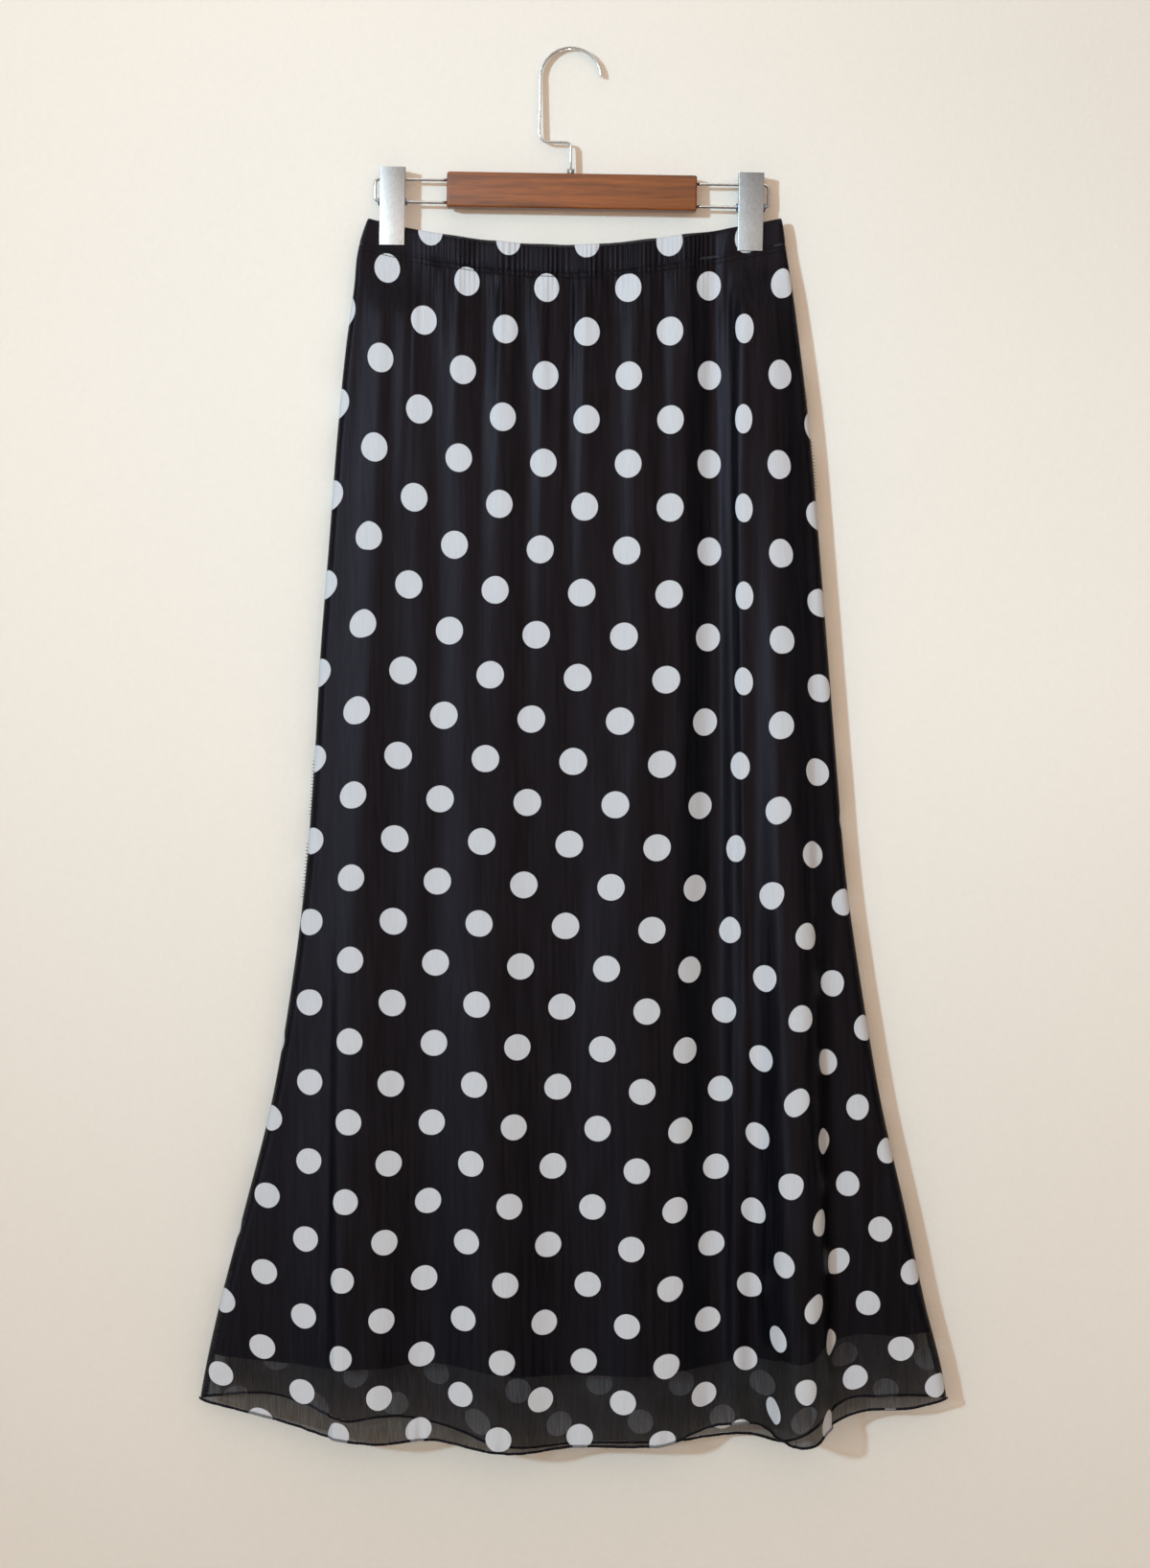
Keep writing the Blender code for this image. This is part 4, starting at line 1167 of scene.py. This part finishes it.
def casing_row(wall):
    """One row of points round the casing, and the print's coordinates there, each closed on itself."""
    loop, across, is_back = casing_loop(min(wall.down, CASING_HEIGHT))
    along = np.roll(loop, -1, axis=0) - np.roll(loop, 1, axis=0)
    out = unit(np.column_stack([along[:, 1], -along[:, 0]]))
    calm = 1 - side_share(loop[:, 0], wall.down) ** SIDE_FADE_POWER
    drawn = np.where(is_back, gathers(BACK, across), gathers(FRONT, across))
    rise = GATHER_RISE * wall.gather * drawn * (1 - PINCH_CALM * pinch(loop[:, 0], wall.down)) * calm
    flat = loop + out * (rise - wall.inward)[:, None]
    z = WAIST_CORNER_Z - waist_sag(loop[:, 0]) - wall.down
    signed = wall.down if wall.inward < CASING_DEPTH / 2 else -wall.down
    drop = np.full(len(across), signed)
    prints = np.where(is_back[:, None], print_places(BACK, drop, across), print_places(FRONT, drop, across))
    return closed(np.column_stack([flat, z])), closed(prints)


class SKIRT_OT_casing(bpy.types.Operator):
    """Fold the mesh over the elastic at the waist, draw it up and stitch it down"""

    bl_idname = "skirt.casing"
    bl_label = "Waist casing"

    def execute(self, context):
        settings = context.scene.skirt_cloth
        finish = dotted_mesh(settings, "dotted_nylon_mesh_casing", settings.front_cover)
        rows, prints = (np.array(part) for part in zip(*[casing_row(wall) for wall in CASING_SECTION]))
        mesh = grid_mesh("casing_cloth", rows, prints, flip=True, join_ends=True)
        item = add_piece(mesh, finish, "waist_casing")
        self.elastic()
        self.stitches()
        return {"FINISHED"}

    def elastic(self):
        """The flat elastic inside the fold, which makes it opaque."""
        rows = np.array([casing_row(wall)[0] for wall in ELASTIC_SECTION])
        mesh = grid_mesh("waist_elastic", rows, np.zeros((*rows.shape[:2], 2)), flip=True, join_ends=True)
        add_piece(mesh, sewing_thread("woven_elastic", "#17171b"))

    def stitches(self):
        """The row of stitches under the elastic: each sinks where its needle went in."""
        finish = sewing_thread("black_thread", "#060608")
        for side, panel in PANELS.items():
            for name, drop in zip(("upper", "lower"), STITCH_DROPS):
                row = lay_sheet(panel, [drop], STITCH_POINTS, (STITCH_INSET,) * 2).points[0]
                length = np.linspace(0, length_along(row)[-1], STITCH_POINTS)
                radius = STITCH_THREAD + STITCH_SWELL * np.abs(np.sin(np.pi * length / STITCH_LENGTH))
                add_piece(tube_mesh(f"{side}_{name}_stitches", row, radius, 5), finish)


class SKIRT_OT_hems(bpy.types.Operator):
    """Roll the mesh's bottom edges into thin hems"""

    bl_idname = "skirt.hems"
    bl_label = "Rolled hems"

    def execute(self, context):
        finish = dotted_mesh(context.scene.skirt_cloth, "dotted_nylon_mesh_rolled")
        radius = context.scene.skirt_cloth.hem_cord / MM
        for side, columns in COLUMNS.items():
            sheet = mesh_sheet(side)
            swell = 1 + ROLL_SWELL * uneven_wave(np.arange(columns) * ROLL_STEP, ROLL_PITCH, ROLL_SEED)
            hem = tube_mesh(f"{side}_rolled_hem", sheet.points[-1], radius * swell, 8, sheet.prints[-1])
            add_piece(hem, finish)
        return {"FINISHED"}


def peeking(side, drops):
    """How far the overlocking rolls out past the edge, down one side."""
    out = np.zeros_like(drops)
    for peek in PEEKS:
        if peek.side == side:
            firm = ease((drops - peek.top) / PEEK_SET_IN) * ease((peek.bottom - drops) / PEEK_SET_IN)
            out += peek.reach * firm
    return out


class SKIRT_OT_seams(bpy.types.Operator):
    """Overlock the two side seams, their allowances turned inwards"""

    bl_idname = "skirt.seams"
    bl_label = "Side seams"

    def execute(self, context):
        thread = sewing_thread("overlock_thread", "#2a2a30")
        settings = context.scene.skirt_cloth
        cloth = dotted_mesh(settings, "dotted_nylon_mesh_allowance", settings.front_cover)
        drops = np.arange(CASING_HEIGHT + 1, HEM_DROP - 0.5, SEAM_STEP)
        seam_y = read(DEPTHS, "seam_y", drops)
        hem_half = read(WIDTHS, "left", HEM_DROP)
        for side, sign in (("left", -1), ("right", 1)):
            half = read(WIDTHS, side, drops)
            down = hung(FRONT, weight_at_hem(drops), SKIRT_CENTRE_X + sign * half[0], sign * hem_half)
            rows = []
            for reach in SEAM_ROWS:
                x = SKIRT_CENTRE_X + sign * (half - reach)
                y = seam_y + SEAM_WAVER * np.sin(drops / SEAM_WAVE + reach)
                rows.append(np.column_stack([x, y, WAIST_CORNER_Z - down]))
            points = np.array(rows)
            prints = np.full((*points.shape[:2], 2), BETWEEN_DOTS)
            mesh = grid_mesh(f"{side}_seam_allowance", points, prints, flip=sign > 0)
            add_piece(mesh, cloth)
            edge = points[0] + np.outer(sign * peeking(side, drops), (1, 0, 0))
            self.serge(side, points[-1], edge, thread)
        return {"FINISHED"}

    def serge(self, side, inner, outer, thread):
        """The overlock's looper thread: it zigzags between the seam and the cut edge."""
        length = length_along(inner)
        at = np.arange(0, length[-1], SERGE_PITCH / 4)
        swing = 2 * np.pi * at / SERGE_PITCH
        edge = resample(at, length, inner)
        seam = resample(at, length, outer)
        path = edge + (seam - edge) * ((1 - np.cos(swing)) / 2)[:, None]
        path[:, 1] += SERGE_LOOP * np.sin(swing)
        add_piece(tube_mesh(f"{side}_overlock", path, SERGE_THREAD, 5), thread)


# The hanger's pieces


def set_on_hanger(bm, x=0.0, z=0.0):
    """Moves a piece to its place in the hanger's upright frame, then leans it about the hook's crown."""
    bmesh.ops.translate(bm, verts=bm.verts, vec=Vector((x, 0, z)) * MM)
    bmesh.ops.rotate(bm, verts=bm.verts, cent=(0, 0, 0), matrix=Matrix.Rotation(HANGER_LEAN, 3, "Y"))


def leaned(points):
    """Points of the hanger's upright frame, leaned with it."""
    turn = np.array(Matrix.Rotation(HANGER_LEAN, 3, "Y"))
    return np.asarray(points) @ turn.T


def close_mesh(name, bm, angle=35.0):
    bmesh.ops.recalc_face_normals(bm, faces=bm.faces)
    mesh = bpy.data.meshes.new(name)
    bm.to_mesh(mesh)
    bm.free()
    mesh.shade_smooth()
    mesh.set_sharp_from_angle(angle=math.radians(angle))
    return mesh


def sharp_edges(bm):
    return [edge for edge in bm.edges if edge.calc_face_angle(0) > SHARP_BEND]


def round_edges(bm, edges, radius, segments):
    """Rounds edges to a radius in metres."""
    bmesh.ops.bevel(
        bm, geom=edges, offset=radius, segments=segments, profile=0.5, affect="EDGES", material=-1
    )


def arc(centre, radius, start, end, steps):
    """Points on an arc in the XZ plane, its angles in degrees from +X towards +Z."""
    angles = np.radians(np.linspace(start, end, steps + 1))
    return [(centre[0] + radius * math.cos(a), centre[1] + radius * math.sin(a)) for a in angles]


class SKIRT_OT_bar(bpy.types.Operator):
    """Make the wooden bar, its edges and corners rounded over"""

    bl_idname = "skirt.bar"
    bl_label = "Wooden bar"

    def execute(self, context):
        settings = context.scene.skirt_hanger
        bm = bmesh.new()
        bmesh.ops.create_cube(bm, size=1.0)
        bmesh.ops.scale(bm, verts=bm.verts, vec=(BAR_LENGTH * MM, BAR_DEPTH * MM, BAR_HEIGHT * MM))
        round_edges(bm, bm.edges[:], settings.edge_round, 5)
        set_on_hanger(bm, HANGER_CENTRE_X, BAR_TOP_Z - BAR_HEIGHT / 2)
        add_piece(close_mesh("bar_wood", bm, 50.0), oiled_wood(settings), "wood_bar")
        return {"FINISHED"}


class SKIRT_OT_hook(bpy.types.Operator):
    """Bend the hook's flat strip and screw down its nut"""

    bl_idname = "skirt.hook"
    bl_label = "Hook and nut"

    def execute(self, context):
        chrome = chrome_plate()
        low_turn = (-HOOK_RADIUS + HOOK_CORNER_OUTER, HOOK_OFFSET_Z + HOOK_CORNER_OUTER)
        down_turn = (HOOK_STEM_X - HOOK_CORNER_INNER, HOOK_OFFSET_Z - HOOK_CORNER_INNER)
        path = arc((0, HOOK_SHEET / 2 - HOOK_RADIUS), HOOK_RADIUS, HOOK_TIP_ANGLE, 180, 72)
        path += arc(low_turn, HOOK_CORNER_OUTER, 180, 270, 16)
        path += arc(down_turn, HOOK_CORNER_INNER, 90, 0, 16)
        path.append((HOOK_STEM_X, BAR_TOP_Z + SEAM_GAP + NUT_HEIGHT))
        bm = bmesh.new()
        bmesh.ops.create_grid(bm, x_segments=1, y_segments=len(path) - 1, size=1.0)
        bm.verts.ensure_lookup_table()
        for i, (x, z) in enumerate(path):
            for j, y in enumerate((-HOOK_WIDTH / 2, HOOK_WIDTH / 2)):
                bm.verts[2 * i + j].co = (x * MM, y * MM, z * MM)
        bmesh.ops.recalc_face_normals(bm, faces=bm.faces)
        bm.normal_update()
        for vertex in bm.verts:
            vertex.co += vertex.normal * HOOK_SHEET / 2 * MM
        bmesh.ops.solidify(bm, geom=bm.faces[:], thickness=HOOK_SHEET * MM)
        round_edges(bm, sharp_edges(bm), HOOK_EASE * MM, 2)
        set_on_hanger(bm)
        add_piece(close_mesh("hook_steel", bm), chrome, "hook_strip")
        self.nut(chrome)
        return {"FINISHED"}

    def nut(self, chrome):
        bm = bmesh.new()
        size = {"radius1": NUT_RADIUS * MM, "radius2": NUT_RADIUS * MM, "depth": NUT_HEIGHT * MM}
        bmesh.ops.create_cone(bm, cap_ends=True, segments=6, **size)
        round_edges(bm, bm.edges[:], NUT_EASE * MM, 2)
        set_on_hanger(bm, HOOK_STEM_X, BAR_TOP_Z + SEAM_GAP + NUT_HEIGHT / 2)
        add_piece(close_mesh("hook_nut_steel", bm), chrome, "hook_nut")


class SKIRT_OT_rails(bpy.types.Operator):
    """Bend the wire rails that the clips slide on"""

    bl_idname = "skirt.rails"
    bl_label = "Rails"

    def execute(self, context):
        chrome = chrome_plate()
        start = BAR_LENGTH / 2 - 0.5
        turn_x = RAIL_END_X - RAIL_RADIUS - RAIL_BEND
        path = [(x, RAIL_UPPER_Z) for x in np.linspace(start, turn_x - 0.5, 12)]
        path += arc((turn_x, RAIL_UPPER_Z - RAIL_BEND), RAIL_BEND, 90, 0, 14)
        path += arc((turn_x, RAIL_LOWER_Z + RAIL_BEND), RAIL_BEND, 0, -90, 14)
        path += [(x, RAIL_LOWER_Z) for x in np.linspace(turn_x - 0.5, start, 12)]
        for side, sign in (("left", -1), ("right", 1)):
            points = leaned([(HANGER_CENTRE_X + sign * x, 0.0, z) for x, z in path])
            wire = tube_mesh(f"rail_wire_{side}", points, RAIL_RADIUS, 16)
            add_piece(wire, chrome, f"rails_{side}")
        return {"FINISHED"}


class SKIRT_OT_clips(bpy.types.Operator):
    """Press the clips' jaws and set their springs and washers on the rails"""

    bl_idname = "skirt.clips"
    bl_label = "Clips"

    def execute(self, context):
        zinc = blue_zinc()
        inner_width = CLIP_WIDTH - 2 * (CLIP_SHEET + JAW_CLEARANCE)
        for side, sign in (("left", -1), ("right", 1)):
            centre = HANGER_CENTRE_X + sign * CLIP_CENTRE_X
            steel = brushed_steel(side)
            self.jaw(f"clip_{side}_front", CLIP_WIDTH, -1, centre, steel)
            self.jaw(f"clip_{side}_back", inner_width, 1, centre, steel)
            self.spring(side, centre, steel)
            for place, step in (("inner", -sign), ("outer", sign)):
                self.washer(side, place, centre + step * (CLIP_WIDTH / 2 + SEAM_GAP + WASHER_HALF), zinc)
        return {"FINISHED"}

    def jaw(self, name, width, facing, centre, steel):
        """One jaw: a channel pressed from sheet, its bends crisp and its cut edges eased."""
        half = width / 2
        bm = bmesh.new()
        bmesh.ops.create_grid(bm, x_segments=3, y_segments=JAW_ROWS, size=1.0)
        bm.verts.ensure_lookup_table()
        downs = np.linspace(0.0, JAW_SECTIONS[-1].down, JAW_ROWS + 1)
        face = np.interp(downs, column(JAW_SECTIONS, "down"), column(JAW_SECTIONS, "face_y"))
        flange = np.interp(downs, column(JAW_SECTIONS, "down"), column(JAW_SECTIONS, "flange"))
        for i, down in enumerate(downs):
            tip = face[i] - flange[i]
            for j, (x, y) in enumerate(((-half, tip), (-half, face[i]), (half, face[i]), (half, tip))):
                bm.verts[4 * i + j].co = Vector((centre + x, facing * y, CLIP_TOP_Z - down)) * MM
        bm.normal_update()
        front = max(bm.faces, key=lambda face: facing * face.calc_center_median().y)
        if facing * front.normal.y < 0:
            bmesh.ops.reverse_faces(bm, faces=bm.faces)
        bm.normal_update()
        round_edges(bm, sharp_edges(bm), JAW_BEND * MM, 4)
        bmesh.ops.solidify(bm, geom=bm.faces[:], thickness=CLIP_SHEET * MM)
        round_edges(bm, sharp_edges(bm), JAW_EASE * MM, 1)
        set_on_hanger(bm)
        add_piece(close_mesh(name, bm, 40.0), steel, f"{name}_jaw")

    def spring(self, side, centre, steel):
        """The coil round the lower rail that shuts the jaws."""
        at = np.linspace(0, 1, SPRING_TURNS * 20 + 1)
        swing = 2 * np.pi * SPRING_TURNS * at
        x = centre + (at - 0.5) * SPRING_LENGTH
        y = SPRING_RADIUS * np.cos(swing)
        z = RAIL_LOWER_Z + SPRING_RADIUS * np.sin(swing)
        coil = tube_mesh(f"clip_{side}_coil", leaned(np.column_stack([x, y, z])), SPRING_WIRE, 8)
        add_piece(coil, steel, f"clip_{side}_spring")

    def washer(self, side, place, x, zinc):
        """A pressed washer, its bore on the rail and its rims eased."""
        bm = bmesh.new()
        profile = (
            (-WASHER_HALF, WASHER_BORE),
            (-WASHER_HALF, WASHER_RADIUS),
            (WASHER_HALF, WASHER_RADIUS),
            (WASHER_HALF, WASHER_BORE),
        )
        verts = [bm.verts.new((step * MM, 0, radius * MM)) for step, radius in profile]
        edges = [bm.edges.new((verts[i], verts[(i + 1) % 4])) for i in range(4)]
        turn = {"cent": (0, 0, 0), "axis": (1, 0, 0), "angle": 2 * math.pi, "steps": 40}
        bmesh.ops.spin(bm, geom=verts + edges, use_merge=True, **turn)
        bmesh.ops.recalc_face_normals(bm, faces=bm.faces)
        round_edges(bm, sharp_edges(bm), WASHER_EASE * MM, 2)
        set_on_hanger(bm, x, RAIL_LOWER_Z)
        mesh = close_mesh(f"clip_{side}_ring_{place}", bm)
        add_piece(mesh, zinc, f"clip_{side}_washer_{place}")


# The stage


def painted_falloff(tree, place, tone):
    """One ramp of painted shade on the wall, from nothing at its start to its full share at its end."""
    along = add_node(tree, "SeparateXYZ", {"Vector": place}).outputs[tone.axis]
    limits = {"From Min": tone.start, "From Max": tone.end, "To Max": tone.share}
    return add_node(tree, "MapRange", {"Value": along, **limits})


def emulsion(settings, kind):
    """Flat emulsion on plaster: matt, with the faintest mottle. The wall is only there from its front,
    and painted shade darkens it towards its foot and towards its upper right, where the light falls off."""
    made, tree, place = new_material(f"matt_emulsion_{kind}")
    mottle = add_node(tree, "TexNoise", {"Vector": place, "Scale": 2.0, "Detail": 3.0})
    grit = add_node(tree, "TexNoise", {"Vector": place, "Scale": 240.0, "Detail": 4.0})
    both = add_node(tree, "Math", {0: mottle, 1: grit}, operation="ADD")
    uneven = add_node(tree, "Math", {0: both, 1: 0.5}, operation="MULTIPLY")
    tones = {6: shade(settings.wall_colour, 1 - MOTTLE), 7: shade(settings.wall_colour, 1 + MOTTLE)}
    colour = add_node(tree, "Mix", {0: uneven, **tones}, data_type="RGBA")
    # Painted shade: the wall's colour is darkened towards its foot and its upper right
    if kind == "wall":
        foot, right, upper = (painted_falloff(tree, place, tone) for tone in WALL_PAINTED_SHADE)
        deep = add_node(tree, "Math", {0: right, 1: upper, 2: foot}, operation="MULTIPLY_ADD")
        left_over = add_node(tree, "Math", {0: 1.0, 1: deep}, operation="SUBTRACT")
        paint = {0: 1.0, 6: colour, 7: left_over}
        colour = add_node(tree, "Mix", paint, data_type="RGBA", blend_type="MULTIPLY")
    surface = add_surface(tree, colour, grit, 0.5, 0.0008, {"Roughness": 0.9, "Specular IOR Level": 0.1})
    if kind == "wall":
        behind = add_node(tree, "NewGeometry", {}).outputs["Backfacing"]
        gone = add_node(tree, "BsdfTransparent", {})
        surface = add_node(tree, "MixShader", {0: behind, 1: surface, 2: gone})
    add_node(tree, "OutputMaterial", {"Surface": surface})
    return made


class SKIRT_OT_stage(bpy.types.Operator):
    """Set up the pale wall and floor, the light and the camera"""

    bl_idname = "skirt.stage"
    bl_label = "Stage, light and camera"

    def execute(self, context):
        settings = context.scene.skirt_stage
        self.camera(context)
        for kind in ("wall", "floor"):
            self.sheet(context, kind, settings)
        self.room(context, settings)
        for lamp in LAMPS:
            self.lamp(context, lamp, settings)
        context.scene.view_settings.view_transform = "Standard"
        return {"FINISHED"}

    def camera(self, context):
        lens = bpy.data.cameras.new("camera")
        lens.sensor_width = SENSOR
        lens.lens = SENSOR * -CAMERA_PLACE[1] / FRAME_HEIGHT
        camera = bpy.data.objects.new("camera", lens)
        camera.location = Vector(CAMERA_PLACE) * MM
        camera.rotation_euler = (math.pi / 2, 0, 0)
        context.scene.collection.objects.link(camera)
        context.scene.camera = camera

    def sheet(self, context, kind, settings):
        """The wall stands and bows, and throws no shadow. The floor lies flat, and gloss doesn't show it."""
        bm = bmesh.new()
        rows = WALL_ROWS if kind == "wall" else 2
        bmesh.ops.create_grid(bm, x_segments=2, y_segments=rows, size=WALL_SIZE / 2)
        if kind == "wall":
            bmesh.ops.rotate(bm, verts=bm.verts, matrix=Matrix.Rotation(math.pi / 2, 3, "X"))
            bmesh.ops.translate(bm, verts=bm.verts, vec=(0, 0, WALL_SIZE / 2 - settings.floor_drop))
            for vertex in bm.verts:
                share = float(ease((WALL_BOW_TOP - vertex.co.z / MM) / (WALL_BOW_TOP - WALL_BOW_FOOT)))
                vertex.co.y = (WALL_Y_HIGH + (WALL_Y_LOW - WALL_Y_HIGH) * share) * MM
        else:
            bmesh.ops.translate(bm, verts=bm.verts, vec=(0, 0, -settings.floor_drop))
        mesh = bpy.data.meshes.new(f"stage_{kind}")
        bm.to_mesh(mesh)
        bm.free()
        mesh.shade_smooth()
        mesh.materials.append(emulsion(settings, kind))
        item = bpy.data.objects.new(mesh.name, mesh)
        context.scene.collection.objects.link(item)
        item.visible_shadow = kind == "floor"
        item.visible_glossy = kind == "wall"

    def room(self, context, settings):
        """The soft light from all round, and what gloss and the camera see in its place."""
        world = bpy.data.worlds.new("soft_room")
        world.use_nodes = True
        tree = world.node_tree
        tree.nodes.clear()
        ray = add_node(tree, "LightPath", {}).outputs
        facing = add_node(tree, "TexCoord", {}).outputs["Generated"]
        way = add_node(tree, "SeparateXYZ", {"Vector": facing}).outputs
        even = FILL_FROM_ROUND * settings.fill_light
        lean = (-FILL_FROM_LEFT * even, 0.0, FILL_FROM_ABOVE * even)
        leant = add_node(tree, "VectorMath", {0: facing, 1: lean}, operation="DOT_PRODUCT")
        around = add_node(tree, "Math", {0: leant, 1: even}, operation="ADD")
        ahead = add_node(tree, "Math", {0: way["Y"], 1: -1.0}, operation="MULTIPLY", use_clamp=True)
        narrow = add_node(tree, "Math", {0: ahead, 1: FILL_FRONT_POWER}, operation="POWER")
        front = {0: narrow, 1: FILL_FROM_FRONT * settings.fill_light, 2: around}
        strength = add_node(tree, "Math", front, operation="MULTIPLY_ADD")
        fill = add_node(tree, "Background", {"Color": shade(linear(FILL_TINT)), "Strength": strength})
        aside = add_node(tree, "Math", {0: way["X"], 1: way["X"]}, operation="MULTIPLY")
        sides = add_node(tree, "Math", {0: aside, 1: -ROOM_SIDES, 2: 1.0}, operation="MULTIPLY_ADD")
        rising = add_node(tree, "Math", {0: way["Z"], 1: ROOM_RISE, 2: ROOM_LEVEL}, operation="MULTIPLY_ADD")
        high = add_node(tree, "Math", {0: rising, 1: ROOM_LEAST}, operation="MAXIMUM")
        bright = add_node(tree, "Math", {0: sides, 1: high}, operation="MULTIPLY")
        room = add_node(tree, "Background", {"Color": shade(linear(ROOM_TINT)), "Strength": bright})
        seen = add_node(tree, "Background", {"Color": shade(linear(SEEN_TINT)), "Strength": 1.0})
        lit = add_node(tree, "MixShader", {0: ray["Is Glossy Ray"], 1: fill, 2: room})
        mixed = add_node(tree, "MixShader", {0: ray["Is Camera Ray"], 1: lit, 2: seen})
        add_node(tree, "OutputWorld", {"Surface": mixed})
        context.scene.world = world

    def lamp(self, context, lamp, settings):
        """A soft round lamp, aimed at the skirt's upper part from one side and a little above."""
        light = bpy.data.lights.new(lamp.name, "AREA")
        light.shape = "DISK"
        light.size = LAMP_WIDTH
        light.spread = LAMP_SPREAD
        light.energy = lamp.watts * settings.key_light
        light.color = linear(lamp.tint)
        level = math.cos(LAMP_FROM_ABOVE)
        around = lamp.around
        direction = Vector((math.sin(around) * level, -math.cos(around) * level, math.sin(LAMP_FROM_ABOVE)))
        item = bpy.data.objects.new(lamp.name, light)
        item.location = Vector(LAMP_AIM) + direction * LAMP_DISTANCE
        item.rotation_euler = direction.to_track_quat("Z", "Y").to_euler()
        context.scene.collection.objects.link(item)


class SKIRT_PT_build(bpy.types.Panel):
    bl_label = "Fishtail skirt"
    bl_idname = "SKIRT_PT_build"
    bl_space_type = "VIEW_3D"
    bl_region_type = "UI"
    bl_category = "Skirt"

    def draw(self, context):
        for title, name in SETTINGS:
            settings = getattr(context.scene, name)
            box = self.layout.box()
            box.label(text=title)
            for prop in settings.__annotations__:
                box.prop(settings, prop)
        for operator in OPERATORS:
            self.layout.operator(operator.bl_idname)


SETTINGS = (("Cloth", "skirt_cloth"), ("Hanger", "skirt_hanger"), ("Stage", "skirt_stage"))
OPERATORS = (
    SKIRT_OT_panels,
    SKIRT_OT_linings,
    SKIRT_OT_casing,
    SKIRT_OT_seams,
    SKIRT_OT_hems,
    SKIRT_OT_bar,
    SKIRT_OT_hook,
    SKIRT_OT_rails,
    SKIRT_OT_clips,
    SKIRT_OT_stage,
)
CLASSES = (SkirtCloth, SkirtHanger, SkirtStage, *OPERATORS, SKIRT_PT_build)


def register():
    for item in CLASSES:
        bpy.utils.register_class(item)
    bpy.types.Scene.skirt_cloth = bpy.props.PointerProperty(type=SkirtCloth)
    bpy.types.Scene.skirt_hanger = bpy.props.PointerProperty(type=SkirtHanger)
    bpy.types.Scene.skirt_stage = bpy.props.PointerProperty(type=SkirtStage)


def unregister():
    del bpy.types.Scene.skirt_stage
    del bpy.types.Scene.skirt_hanger
    del bpy.types.Scene.skirt_cloth
    for item in reversed(CLASSES):
        bpy.utils.unregister_class(item)


def main():
    register()
    for operator in OPERATORS:
        module, name = operator.bl_idname.split(".")
        getattr(getattr(bpy.ops, module), name)()


if __name__ == "__main__":
    main()
